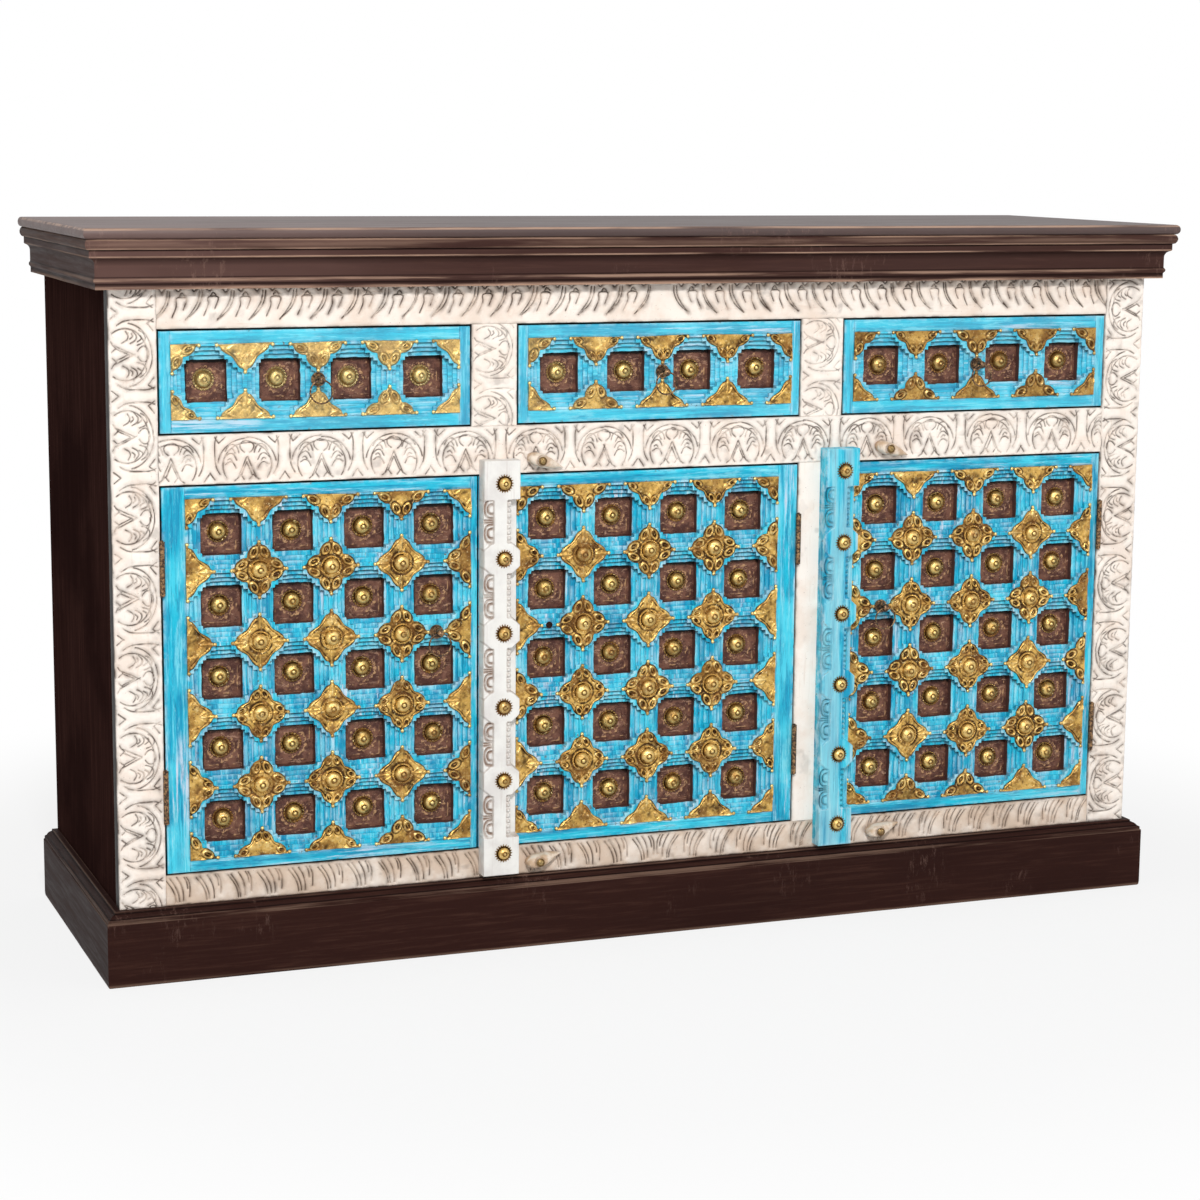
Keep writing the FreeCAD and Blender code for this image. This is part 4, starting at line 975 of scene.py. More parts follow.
class SIDEBOARD_OT_mouldings(Operator):
    """Build the cornice, the top board, the plinth and its cap"""

    bl_idname = "sideboard.mouldings"
    bl_label = "Mouldings"

    def execute(self, context):
        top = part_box("top_board")[1].z
        mitred_runs("cornice", [(out * MM, top - down * MM) for out, down in CORNICE])
        for name, shape in (("plinth_cap", PLINTH_CAP), ("plinth", PLINTH)):
            mitred_runs(name, [(out * MM, level * MM) for out, level in shape])
        top_slab()
        return {"FINISHED"}


INNER_BOARDS = {"back_panel": "z", "bottom_board": "x", "dust_board": "x", "partition": "z",
                "shelves": "x", "shelf_cleats": "y", "door_stops": "x", "drawer_runners": "y"}


class SIDEBOARD_OT_boards(Operator):
    """Finish the panels, shelves and drawer boxes"""

    bl_idname = "sideboard.boards"
    bl_label = "Panels and Boards"

    def execute(self, context):
        for name in ("side_panel_left", "side_panel_right"):
            soften(repaint(name, panel_wood("z")), 0.8 * MM)
        for name, grain in INNER_BOARDS.items():
            soften(repaint(name, inner_wood(grain)), 0.6 * MM)
        for name in DOORS:
            boards = recess_wood("recess_boards", GRAIN["z"])
            soften(repaint("%s_door_panel" % name, boards), 0.4 * MM)
            soften(repaint("%s_drawer_box" % name, inner_wood("y")), 0.4 * MM)
        return {"FINISHED"}


# Doors and drawers

DOORS = ("left", "middle", "right")
DOOR_ROWS = 5
COLUMNS = 4
HINGE_BORDERS = {"left": 29 * MM, "middle": 28 * MM, "right": 11.5 * MM}
THROUGH = 4  # level of a cell that is cut right through
CELL_SHIFT, CELL_SWELL, CELL_TURN, CELL_ROUGH = 0.45 * MM, 0.006, 0.007, 0.22 * MM
LEDGE_UNEVEN = 0.12 * MM
BORDER_GRID = 2.4 * MM
BORDER_WAVES = ((0.22 * MM, 60 * MM, 9 * MM), (0.1 * MM, 18 * MM, 4 * MM))
BORDER_WEAR = 1.6 * MM


class Field:
    """The latticed part of a door or drawer front."""

    def __init__(self, kind, name):
        sizes = bpy.context.scene.sideboard_lattice
        self.body = "%s_%s" % (name, kind)
        self.node = self.body + "_front"
        self.low, self.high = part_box(self.node)
        self.rows = DOOR_ROWS if kind == "door" else 1
        self.pitch_x = sizes.pitch_across
        self.pitch_z = sizes.pitch_up if kind == "door" else sizes.drawer_field
        width = self.pitch_x * COLUMNS
        if kind == "drawer":
            self.left = (self.low.x + self.high.x - width) / 2
        elif name == "left":
            self.left = self.low.x + HINGE_BORDERS[name]
        else:
            self.left = self.high.x - HINGE_BORDERS[name] - width
        self.foot = (self.low.z + self.high.z - self.pitch_z * self.rows) / 2
        self.right = self.left + width
        self.head = self.foot + self.pitch_z * self.rows
        self.seed = sum(ord(letter) for letter in self.body)

    def at(self, column, row):
        return self.left + self.pitch_x * column, self.foot + self.pitch_z * row

    def crossings(self):
        return [(column, row) for row in range(self.rows + 1) for column in range(COLUMNS + 1)]

    def centres(self):
        return [self.at(column + 0.5, row + 0.5)
                for row in range(self.rows) for column in range(COLUMNS)]


def fields():
    return [Field(kind, name) for kind in ("door", "drawer") for name in DOORS]


def ledge_reaches():
    """For each ledge from the deepest out: how far it reaches, and half its length."""
    sizes = bpy.context.scene.sideboard_lattice
    return [(sizes.recess / 2 + sizes.step * (k + 1), (sizes.first_step - sizes.narrowing * k) / 2)
            for k in range(3)]


def tile_lines(pitch):
    """Distances from a recess's centre where its cell changes depth."""
    half = bpy.context.scene.sideboard_lattice.recess / 2
    reaches, ledges = zip(*ledge_reaches())
    positive = [ledges[-1] * 0.6, *sorted(ledges), half, *reaches, pitch / 2]
    return np.array([-value for value in reversed(positive)] + positive)


def tile_depth(x, z):
    """Level of the lattice in a cell: 0 is its face, 3 the deepest ledge, 4 cut through."""
    x, z = abs(x), abs(z)
    if max(x, z) < bpy.context.scene.sideboard_lattice.recess / 2:
        return THROUGH
    for k, (reach, ledge) in enumerate(ledge_reaches()):
        if (x < reach and z < ledge) or (z < reach and x < ledge):
            return 3 - k
    return 0


def lattice_mesh(field):
    """Pierced board: every ledge and wall of its recesses, each cell cut a little differently."""
    rng = np.random.default_rng(field.seed)
    lines_x, lines_z = tile_lines(field.pitch_x), tile_lines(field.pitch_z)
    flat_x, flat_z = np.meshgrid(lines_x, lines_z, indexing="ij")
    n = len(lines_x) - 1
    xs = np.zeros((n * COLUMNS + 1, n * field.rows + 1))
    zs = np.zeros_like(xs)
    window_x, window_z = (1 - (np.abs(lines) / lines[-1]) ** 8 for lines in (lines_x, lines_z))
    window = window_x[:, None] * window_z[None, :]
    middle_x, middle_z = (lines_x[1:] + lines_x[:-1]) / 2, (lines_z[1:] + lines_z[:-1]) / 2
    tile = np.array([[tile_depth(a, b) for b in middle_z] for a in middle_x])
    for number, centre in enumerate(field.centres()):
        column, row = number % COLUMNS, number // COLUMNS
        part = (slice(column * n, column * n + n + 1), slice(row * n, row * n + n + 1))
        shift = rng.normal(0, CELL_SHIFT, 2)
        swell = 1 + rng.normal(0, CELL_SWELL, 2)
        turn = rng.normal(0, CELL_TURN)
        rough = rng.normal(0, CELL_ROUGH, (2, n + 1, n + 1))
        for k, (points, flat, aside) in enumerate(((xs, flat_x, -flat_z), (zs, flat_z, flat_x))):
            sway = shift[k] + flat * (swell[k] - 1) + aside * turn + rough[k]
            points[part] = centre[k] + flat + window * sway
    sheet = Terrain(xs, zs, np.tile(tile, (COLUMNS, field.rows)), field.low.y, field.high.y, rng)
    return sheet.build("%s_lattice" % field.body)


class Terrain:
    """Flat cells at a few depths, joined by upright walls, with a back."""

    def __init__(self, xs, zs, depth, front_y, back_y, rng):
        self.xs, self.zs, self.front_y, self.rng = xs, zs, front_y, rng
        # Cells outside the board count as cut right through
        self.depth = np.pad(depth, 1, constant_values=THROUGH)
        step = bpy.context.scene.sideboard_lattice.step_depth
        self.drops = [step * level for level in range(THROUGH)] + [back_y - front_y]
        self.index = {}
        self.vertices = []
        self.faces = []

    def corner(self, i, j, level):
        key = (i, j, level)
        if key not in self.index:
            self.index[key] = len(self.vertices)
            uneven = self.rng.normal(0, LEDGE_UNEVEN) if 0 < level < THROUGH else 0.0
            y = self.front_y + self.drops[level] + uneven
            self.vertices.append((self.xs[i, j], y, self.zs[i, j]))
        return self.index[key]

    def depth_at(self, i, j):
        return self.depth[i + 1, j + 1]

    def wall(self, start, end, shallow, deep):
        for level in range(shallow, deep):
            self.faces.append((self.corner(*start, level), self.corner(*end, level),
                               self.corner(*end, level + 1), self.corner(*start, level + 1)))

    def build(self, name):
        for i, j in np.ndindex(self.depth.shape[0] - 2, self.depth.shape[1] - 2):
            level = self.depth_at(i, j)
            if level == THROUGH:
                continue
            ring = [(i, j), (i + 1, j), (i + 1, j + 1), (i, j + 1)]
            self.faces.append(tuple(self.corner(*p, level) for p in ring))
            self.faces.append(tuple(self.corner(*p, THROUGH) for p in reversed(ring)))
            for k, beside in enumerate(((i, j - 1), (i + 1, j), (i, j + 1), (i - 1, j))):
                self.wall(ring[(k + 1) % 4], ring[k], level, self.depth_at(*beside))
        wear, grime, bare = np.array([self.finish_at(*key) for key in self.index]).T
        return mesh_object(name, np.array(self.vertices), [np.array(self.faces)],
                           {"wear": wear, "grime": grime, "bare": bare})

    def finish_at(self, i, j, level):
        """Wear on outer corners, painted shade in inner ones (mostly under a ledge), bare wood
        behind.
        """
        around = self.depth[i:i + 2, j:j + 2]
        (left_low, left_high), (_, right_high) = around
        wear = 1 - 0.12 * level if around.max() > level else 0
        # Painted shade: strongest under a ledge above, less beside one, least elsewhere.
        grime = 0
        for found, share in ((left_high < level and right_high < level, 1.0),
                             (left_high < level and left_low < level, 0.62),
                             (around.min() < level, 0.42)):
            if found:
                grime = share
                break
        return wear, grime, float(level == THROUGH)


def border_strip(field, word, low, high, grain, seed):
    """A painted border board, its surface a little wavy and its edges rounded and worn."""
    across, up = (board_lines(start, end, BORDER_GRID, EDGE) for start, end in zip(low, high))
    x, z = np.meshgrid(across, up)
    rim = rim_distance(x, z, low[0], high[0], low[1], high[1])
    u, v = (x, z) if grain == "x" else (z, x)
    height = unevenness(u, v, BORDER_WAVES, seed) - edge_drop(rim, EDGE)
    piece = relief_board("%s_border_%s" % (field.body, word), across, up, height, field.low.y,
                         field.high.y, {"wear": fade(rim, BORDER_WEAR)})
    dress(piece, turquoise(grain), field.body, "turquoise_paint", field.node)


class SIDEBOARD_OT_lattices(Operator):
    """Build the pierced turquoise boards and their borders"""

    bl_idname = "sideboard.lattices"
    bl_label = "Lattices and Borders"

    def execute(self, context):
        for field in fields():
            lattice = lattice_mesh(field)
            soften(lattice, context.scene.sideboard_lattice.softening)
            paint = turquoise("z" if field.rows > 1 else "x")
            dress(lattice, paint, field.body, "turquoise_paint", field.node)
            low, high = field.low, field.high
            for number, (word, start, end, grain) in enumerate((
                    ("left", (low.x, low.z), (field.left, high.z), "z"),
                    ("right", (field.right, low.z), (high.x, high.z), "z"),
                    ("foot", (field.left, low.z), (field.right, field.foot), "x"),
                    ("head", (field.left, field.head), (field.right, high.z), "x"))):
                border_strip(field, word, start, end, grain, field.seed + number * 10)
        return {"FINISHED"}


# Brass. Shapes are in millimetres. Plates come in three varieties: 0 with leaves, 1 ribbed, 2 both.

Leaf = namedtuple("Leaf", "far off long wide lean")
LEAVES = {0: Leaf(22.3, 6.7, 8.0, 4.9, 24), 2: Leaf(25.0, 5.0, 6.2, 3.8, 22)}
Outline = namedtuple("Outline", "bulge notch breadth pinch")
OUTLINES = (Outline(0.03, 0.16, 0.15, 0.05), Outline(0, 0.12, 0.36, 0.07),
            Outline(0.02, 0.13, 0.22, 0.06))
DENTS = ((0.45, 13, 13), (0.3, 5, 5), (0.22, 2.6, 2.6))
BEAD_LINE, GROOVE_LINE, LINE_WIDTH = 0.9, 0.82, 0.03
PLATE_SHARES = np.concatenate([[0, 0.16], np.linspace(0.32, 1, 26)])
PLATE_STEPS = 39
PLATE_RIM_LIGHT = 0.1
TIPS = ((1, 0), (0, 1), (-1, 0), (0, -1))
PIN_INSET = 2.0 * MM
PIN_INWARD = 1.6 * MM
# Turned rows: radius and height in millimetres, then painted light from 0 to 1, from the rim in.
PIN = [(2.4, 0, 0.1), (2.4, 0.8, 0.6), (1.9, 1.7, 1.0), (1.0, 2.2, 1.0), (0.2, 2.4, 1.0)]
BOSS_RING = [(3.4, 0, 0.1), (3.2, 0.8, 0.5), (2.6, 1.6, 0.75), (1.6, 1.7, 0.7), (0.8, 1.0, 0.25)]
STUD_DISC = [(14, 0, 0.1), (14, 0.6, 0.25), (13.2, 1.3, 0.42), (12.2, 1.2, 0.25), (11.4, 0.8, 0.05)]
SUN_DISC = [(4.5, 0, 0.1), (4.5, 0.8, 0.42), (1.9, 1.3, 0.35), (0.7, 1.0, 0.0)]
SUN_TEETH = 20
NIPPLE = ((1.95, -0.2, 0.4), (1.5, -0.5, 0.2), (1.1, 0.1, 0.7), (0.8, 0.9, 1.0), (0.3, 1.2, 1.0))


def plate_height(p, q, variety):
    """Embossed height and painted shine, as shares, at a point in millimetres from a plate's
    centre.
    """
    best, pit, line = (np.zeros(p.shape) for _ in range(3))
    for along, aside in ((p, q), (q, -p), (-p, -q), (-q, p)):
        for side in (-1, 1) if variety in LEAVES else ():
            leaf = LEAVES[variety]
            turn = math.radians(-leaf.lean * side)
            du, dv = along - leaf.far, aside - leaf.off * side
            a = du * math.cos(turn) + dv * math.sin(turn)
            b = -du * math.sin(turn) + dv * math.cos(turn)
            oval = np.hypot(a / leaf.long, b / leaf.wide)
            vein = 0.45 * ridge(b, 0, 0.9) * ridge(a, 0, leaf.long * 0.45, 4)
            best = np.maximum(best, np.maximum(ridge(oval, 0.82, 0.2), vein))
            pit = np.maximum(pit, smooth_step(0.66 - oval, 0, 0.25) - 1.2 * vein)
            line = np.maximum(line, ridge(oval, 1.2, 0.13))
        rib = ridge(aside, 0, 1.1) * smooth_step(along, 14, 18) * (1 - smooth_step(along, 30, 35))
        if variety == 1:
            swell = 6.5 * np.sin(np.clip((along - 13) / 23, 0, 1) * math.pi)
            fold = ridge(np.abs(aside), swell, 1.1) * smooth_step(along, 13, 16)
            best = np.maximum(best, np.maximum(0.55 * rib, 0.5 * fold))
        elif variety == 2:
            best = np.maximum(best, 0.5 * rib)
    pit = np.clip(pit, 0, 1)
    height = np.clip(best, 0, 1) - 0.5 * pit - 0.25 * line
    return height, 0.56 + 0.4 * best - 0.55 * pit - 0.42 * line * (best < 0.5)


def quadrant(first, variety, seed):
    """One quarter of a plate: points in millimetres from its centre, between two tips."""
    half = bpy.context.scene.sideboard_brass.span / MM / 2
    start, end = ([half * part for part in TIPS[k % 4]] for k in (first, first + 1))
    r, t = np.meshgrid(PLATE_SHARES, np.linspace(0, 1, PLATE_STEPS), indexing="ij")
    shape = OUTLINES[variety]
    tipward = np.abs(2 * t - 1)
    wave = shape.bulge * ridge(tipward, 0.48, 0.16) - shape.notch * ridge(tipward, 0, shape.breadth)
    wave = wave - shape.pinch * ridge(tipward, 0.8, 0.13)
    grow = 1 + wave * r ** 4
    p, q = (r * grow * (a * (1 - t) + b * t) for a, b in zip(start, end))
    emboss, shine = plate_height(p, q, variety)
    rolled = smooth_step(r, 0.93, 1.0)
    bead = ridge(r, BEAD_LINE, LINE_WIDTH) * (variety > 0) * (tipward < 0.75)
    groove = ridge(r, GROOVE_LINE, LINE_WIDTH) * (variety > 0) * (tipward < 0.7)
    dent = unevenness(p, q, DENTS, seed)
    height = 0.4 * (1 - rolled) + emboss * (1 - rolled * 0.8)
    height = height + dent * (1 - rolled) + 0.35 * (bead - groove)
    # Painted light: darker on the rolled rim and the groove, lighter on the bead.
    light = np.clip(shine + 0.5 * dent - 0.45 * rolled + 0.2 * bead - 0.3 * groove, 0, 1)
    return p, q, height, light


def add_plate(heap, x, z, front_y, quarters, variety, seed):
    """Whole, half or quarter plate on a crossing, closed at its edges; a whole one has a boss."""
    sizes = bpy.context.scene.sideboard_brass
    tilt = np.random.default_rng(seed).normal(0, 0.01)
    for number in quarters:
        p, q, height, light = quadrant(number, variety, seed)
        if len(quarters) < 4:
            height = height * (0.35 + 0.65 * smooth_step(np.hypot(p, q), 11, 17))
        else:
            # Painted shade in a ring round where the boss sits.
            light = light - 0.4 * ridge(np.hypot(p, q), 15.2, 1.2)
        top_y = front_y - sizes.thickness - height * sizes.emboss
        points = np.stack([x + (p - q * tilt) * MM, top_y, z + (q + p * tilt) * MM], -1)
        points = points.reshape(-1, 3)
        index = grid_index(*p.shape)
        rim = np.concatenate([index[:, 0], index[-1, 1:], index[-2::-1, -1]])
        skirt = points[rim].copy()
        skirt[:, 1] = front_y
        below = np.arange(len(rim)) + len(points)
        walls = np.stack([rim[:-1], below[:-1], below[1:], rim[1:]], -1)
        heap.add(np.concatenate([points, skirt]), [grid_quads(*p.shape), walls, below[None, ::-1]],
                 np.concatenate([light.ravel(), np.full(len(rim), PLATE_RIM_LIGHT)]))


def quarters_inside(column, row, rows):
    """The quarters of a crossing's plate that lie on the lattice."""
    left, right, below, above = column > 0, column < COLUMNS, row > 0, row < rows
    inside = (right and above, left and above, left and below, right and below)
    return [number for number in range(4) if inside[number]]


def turned(profile, segments, ripple=None):
    """Round piece about the front axis; profile gives radius, height and light from its rim in."""
    angles = np.arange(segments) * 2 * math.pi / segments
    rows = []
    for number, (radius, height, light) in enumerate(profile):
        swing, lift = ripple(number, angles) if ripple else (0, 0)
        r, h = radius * (1 + swing), height + lift
        rows.append(np.stack([r * np.cos(angles), np.broadcast_to(h, angles.shape),
                              r * np.sin(angles), np.full(segments, light)], -1))
    return np.array(rows).reshape(-1, 4), tube_faces(len(profile), segments)


def add_turned(heap, shape, x, y, z, spin=0.0):
    points, faces = shape
    c, s = math.cos(spin), math.sin(spin)
    moved = np.stack([x + (points[:, 0] * c - points[:, 2] * s) * MM, y - points[:, 1] * MM,
                      z + (points[:, 0] * s + points[:, 2] * c) * MM], -1)
    heap.add(moved, faces, points[:, 3])


def dome_profile(radius, height, foot, nipple=2.0, rings=9):
    """Dome with a small nipple in a shallow ring, in millimetres."""
    profile = [(radius + 0.1, foot - 0.4, 0.1)]
    for k in range(rings):
        angle = math.pi / 2 * k / rings
        profile.append((radius * math.cos(angle), foot + height * math.sin(angle),
                        # Painted light growing towards the dome's top.
                        min(0.85, 0.4 + 0.1 * k)))
    profile = [point for point in profile if point[0] > nipple * 2.1]
    top = foot + height * 0.985
    return profile + [(nipple * out, top + up, light) for out, up, light in NIPPLE]


def beads(count, rows, swing, lift):
    """A ripple for turned: these rows swell into beads."""
    def ripple(number, angles):
        wave = np.cos(count * angles)
        return (swing * wave, lift * wave) if number in rows else (0, 0)
    return ripple


def sun_teeth(number, angles):
    """A ripple for turned: the first two rows are cut into teeth."""
    tooth = np.abs(((angles * SUN_TEETH / math.pi) % 2) - 1)
    return (0.34 * (tooth - 1), 0) if number < 2 else (0, 0.5 * tooth if number == 2 else 0)


def round_shapes():
    """Boss of a plate, stud of a recess, sun shaped stud of a batten, and pin of a tip."""
    sizes = bpy.context.scene.sideboard_brass
    radii = [size / MM for size in (sizes.boss, sizes.stud, sizes.batten_stud)]
    ring, disc = ([(radii[k] + out, height, light) for out, height, light in shape]
                  for k, shape in ((0, BOSS_RING), (2, SUN_DISC)))
    boss = turned(ring + dome_profile(radii[0], 7.2, 1.0), 120, beads(24, range(4), 0.018, 0.6))
    stud = turned(STUD_DISC + dome_profile(radii[1], 7.5, 0.8), 100,
                  beads(20, range(1, 4), 0.03, 0.6))
    sun = turned(disc + dome_profile(radii[2], 5.5, 1.0, 1.7), 120, sun_teeth)
    return boss, stud, sun, turned(PIN, 16)


FLOOR_SIDE = 54.5
FLOOR_LINES = 49
ROSETTE_RADIUS, ROSETTE_LOBE, ROSETTE_START = 15.5, 2.6, 13
FRAME_LINE = 21.5


def recess_floor(heap, x, z, front_y, seed):
    """A rough square with a rosette of petals beaten round the stud."""
    rng = np.random.default_rng(seed)
    half = FLOOR_SIDE / 2
    line = np.linspace(-half, half, FLOOR_LINES)
    a, b = np.meshgrid(line, line)
    radius, angle = np.hypot(a, b), np.arctan2(b, a) + rng.uniform(0, 1)
    petals = int(rng.integers(13, 18))
    outline = ROSETTE_RADIUS + ROSETTE_LOBE * np.abs(np.cos(angle * petals / 2))
    outline = outline + 1.3 * soft_noise(a, b, 9, 9, seed)
    square = np.maximum(np.abs(a), np.abs(b)) + 1.1 * soft_noise(a, b, 8, 8, seed + 5)
    frame_line = 0.8 * ridge(square, FRAME_LINE, 0.9) * (soft_noise(a, b, 6, 6, seed + 6) > -0.2)
    rim = np.maximum(ridge(radius, outline, 0.8), frame_line)
    ribs = np.abs(np.sin(angle * petals / 2)) < 0.34
    spokes = ribs * smooth_step(radius, ROSETTE_START, ROSETTE_START + 2)
    spokes = spokes * (1 - smooth_step(radius, outline - 1, outline + 1))
    scribble = soft_noise(a, b, 3.1, 3.1, seed + 1)
    scratches = smooth_step(np.abs(soft_noise(a, b, 2.6, 6.5, seed + 4)), 0.5, 0.9) * (radius > 12)
    marks = np.maximum(rim, 0.75 * spokes) * (0.75 + 0.5 * scribble) + 0.3 * scratches
    marks = np.clip(marks, 0, 1)
    height = 0.35 + 0.8 * marks + 0.35 * soft_noise(a, b, 7, 7, seed + 2) + 0.2 * scribble
    edge = np.minimum(half - np.abs(a), half - np.abs(b))
    height = np.where(edge < 0.1, 0.05, np.maximum(height, 0.1))
    # Painted shade along every edge, and deeper painted shadow along the top and left edges.
    light = np.clip(marks * 0.85 + 0.2 * np.maximum(scribble, 0), 0, 1) - 0.7 * fade(edge, 1.6)
    light = light - 1.6 * fade(half - 2 - b, 3.0) - 1.6 * fade(half - 2 + a, 2.0)
    points = np.stack([x + a * MM, front_y - height * MM, z + b * MM], -1).reshape(-1, 3)
    heap.add(points, [grid_quads(*a.shape), grid_rim(*a.shape)[None, ::-1]], light.ravel())


class SIDEBOARD_OT_brass(Operator):
    """Build the embossed plates, bosses, studs and pins"""

    bl_idname = "sideboard.brass"
    bl_label = "Brass Plates and Studs"

    def execute(self, context):
        sizes = context.scene.sideboard_brass
        boss, stud, sun, pin = round_shapes()
        for field in fields():
            rng = np.random.default_rng(field.seed + 5)
            plates, studs, floors = Heap(), Heap(), Heap()
            seat = field.low.y - sizes.thickness
            tips = set()
            for column, row in field.crossings():
                x, z = field.at(column, row)
                quarters = quarters_inside(column, row, field.rows)
                variety = int(rng.choice([0, 1, 2], p=[0.3, 0.4, 0.3]))
                add_plate(plates, x, z, field.low.y, quarters, variety,
                          field.seed * 50 + column * 7 + row)
                if len(quarters) == 4:
                    add_turned(studs, boss, x + rng.normal(0, 0.4) * MM, seat,
                               z + rng.normal(0, 0.4) * MM, rng.uniform(0, 6))
                tips.update((column, row, k % 4)
                            for quarter in quarters for k in (quarter, quarter + 1))
            reach = sizes.span / 2 - PIN_INSET
            for column, row, k in sorted(tips):
                (x, z), (dx, dz) = field.at(column, row), TIPS[k]
                inward_x = PIN_INWARD * ((column == 0) - (column == COLUMNS)) * (dx == 0)
                inward_z = PIN_INWARD * ((row == 0) - (row == field.rows)) * (dz == 0)
                add_turned(studs, pin, x + dx * reach + inward_x, seat, z + dz * reach + inward_z)
            for number, (x, z) in enumerate(field.centres()):
                recess_floor(floors, x, z, field.high.y, field.seed * 3 + number)
                add_turned(studs, stud, x + rng.normal(-0.8, 0.9) * MM, field.high.y,
                           z + rng.normal(0.8, 0.9) * MM, rng.uniform(0, 6))
            if field.body in BATTENED:
                low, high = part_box("%s_batten" % field.body)
                x = (low.x + high.x) / 2 + BATTEN_STUD_SHIFT
                for number, z in enumerate(batten_stud_levels(low.z, high.z)):
                    add_turned(studs, sun, x, low.y, z, number * 0.7)
            for heap, word in ((plates, "plates"), (studs, "studs")):
                dress(heap.build("%s_%s" % (field.body, word)), brass(), field.body, "aged_brass",
                      field.body + "_brass")
            dress(floors.build(field.body + "_recess_floors"), recess_wood(), field.body,
                  "recess_brown")
        return {"FINISHED"}


# Battens

BATTENED = ("middle_door", "right_door")
BATTEN_STUDS = 6
BATTEN_STUD_INSET = 29.75 * MM
BATTEN_STUD_SHIFT = 2.5 * MM
BATTEN_GRID = 0.85 * MM
BATTEN_WEAR = 1.8 * MM
# Across a batten, in millimetres from its left side
BATTEN_MIDDLE = 24.5
SPINE_LEFT, SPINE_RIGHT = (12.2, 13.8), (31, 32.6)
SCROLL_END, BEAD_MIDDLE, BEAD_END = 22, 35, 39
BEAD_PITCH = 7.2
BLOCK_HALF, BLOCK_SOFT = 20.5, 1.6
END_BLOCK = (50.5, 53)
SIDE_DROP = -15.5
SCROLLS = [[(a, b * way) for a, b in line] for way in (1, -1) for line in (
    curve_through([(11.5, 28), (5, 26.5), (1.8, 19), (2.4, 10), (6, 5), (11.5, 4)]),
    curve_through([(11.5, 22), (7.4, 20.5), (5.6, 16), (7, 11), (11.5, 9.5)]),
    [(1.2, 1.4), (11.5, 1.4)],
)]


def batten_stud_levels(foot, head):
    return np.linspace(foot + BATTEN_STUD_INSET, head - BATTEN_STUD_INSET, BATTEN_STUDS)


def batten(body, material, slot):
    """Cover strip: a spine with a block at each stud, scrolls on its left, beads on its right."""
    node_name = body + "_batten"
    low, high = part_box(node_name)
    across, up = (board_lines(*ends, BATTEN_GRID, EDGE)
                  for ends in ((low.x, high.x), (low.z, high.z)))
    x, z = np.meshgrid(across, up)
    levels = batten_stud_levels(low.z, high.z)
    a = (x - low.x) / MM
    beside = np.abs(z[..., None] - levels[None, None, :])
    c = beside.min(-1) / MM
    half_pitch = (levels[1] - levels[0]) / MM / 2
    half_block = BLOCK_HALF - np.maximum(0, np.abs(a - BATTEN_MIDDLE) - 14) * 0.85
    end = np.minimum(z - low.z, high.z - z) / MM
    block = np.maximum(1 - smooth_step(c, half_block - BLOCK_SOFT, half_block + BLOCK_SOFT),
                       1 - smooth_step(end, *END_BLOCK))
    spine = smooth_step(a, *SPINE_LEFT) * (1 - smooth_step(a, *SPINE_RIGHT))
    scroll = nearest_line(a, (half_pitch - c) * np.sign(z - levels[beside.argmin(-1)]), SCROLLS)
    left_strip = -5.2 + 2.6 * smooth_step(scroll, 0, 3.0) - 1.2 * (1 - smooth_step(scroll, 0, 1.3))
    bead = np.abs(np.cos(z / MM * math.pi / BEAD_PITCH))
    right_strip = -6.5 + 3.6 * bead * ridge(a, BEAD_MIDDLE, 2.6)
    outside = np.where(a < SCROLL_END, left_strip, np.where(a < BEAD_END, right_strip, SIDE_DROP))
    height = np.where(spine > 0, outside * (1 - spine), outside) * (1 - block)
    height = height + 0.25 * soft_noise(a, z / MM, 14, 30, 301)
    height = height - 0.3 * (block > 0.5) * (np.abs(a - BATTEN_MIDDLE) > 22)
    rim = rim_distance(x, z, low.x, high.x, low.z, high.z)
    height = height * MM - edge_drop(rim, EDGE)
    steep = np.hypot(*np.gradient(height)) / BATTEN_GRID
    # Brown on the steep walls of the carving and along the scroll lines.
    stain = smooth_step(steep, 0.3, 1.6) * 0.6 + ridge(scroll, 0, 1.0) * (a < 13) * (1 - block)
    sunk = (1 - block) * (1 - spine) * (a < BEAD_END)
    # Painted shade in the sunk strips, deeper along the scrolls and between the beads.
    grime = 0.45 * ridge(scroll, 0, 1.2) * (a < SCROLL_END) + 0.35 * (1 - bead) * (a > 30)
    grime = sunk * (0.4 + grime)
    wear = fade(rim, BATTEN_WEAR) + smooth_step(steep, 0.1, 0.8) * (height > -1.5 * MM)
    piece = relief_board(node_name + "_carved", across, up, height, low.y, high.y,
                         {"stain": np.clip(stain, 0, 1), "wear": np.clip(wear, 0, 1),
                          "grime": grime})
    dress(piece, material, body, slot, node_name)


class SIDEBOARD_OT_battens(Operator):
    """Build the two carved cover strips"""

    bl_idname = "sideboard.battens"
    bl_label = "Battens"

    def execute(self, context):
        batten("middle_door", batten_white(), "white_paint")
        batten("right_door", turquoise("z", deep=False), "turquoise_paint")
        return {"FINISHED"}


# Turn buttons, pulls and hinges

BUTTONS = {  # screw's place in millimetres, tilt in degrees
    "middle_upper": (-173, 646, -18), "middle_lower": (-173, 114, 12),
    "right_upper": (327, 646, -18), "right_lower": (327, 114, 12),
}
BUTTON_HEAD, BUTTON_REACH, BUTTON_HALF = 15.8, 35.6, 8.8
BUTTON_SEAT = 3.0
BUTTON_RINGS, BUTTON_SEGMENTS = 14, 72
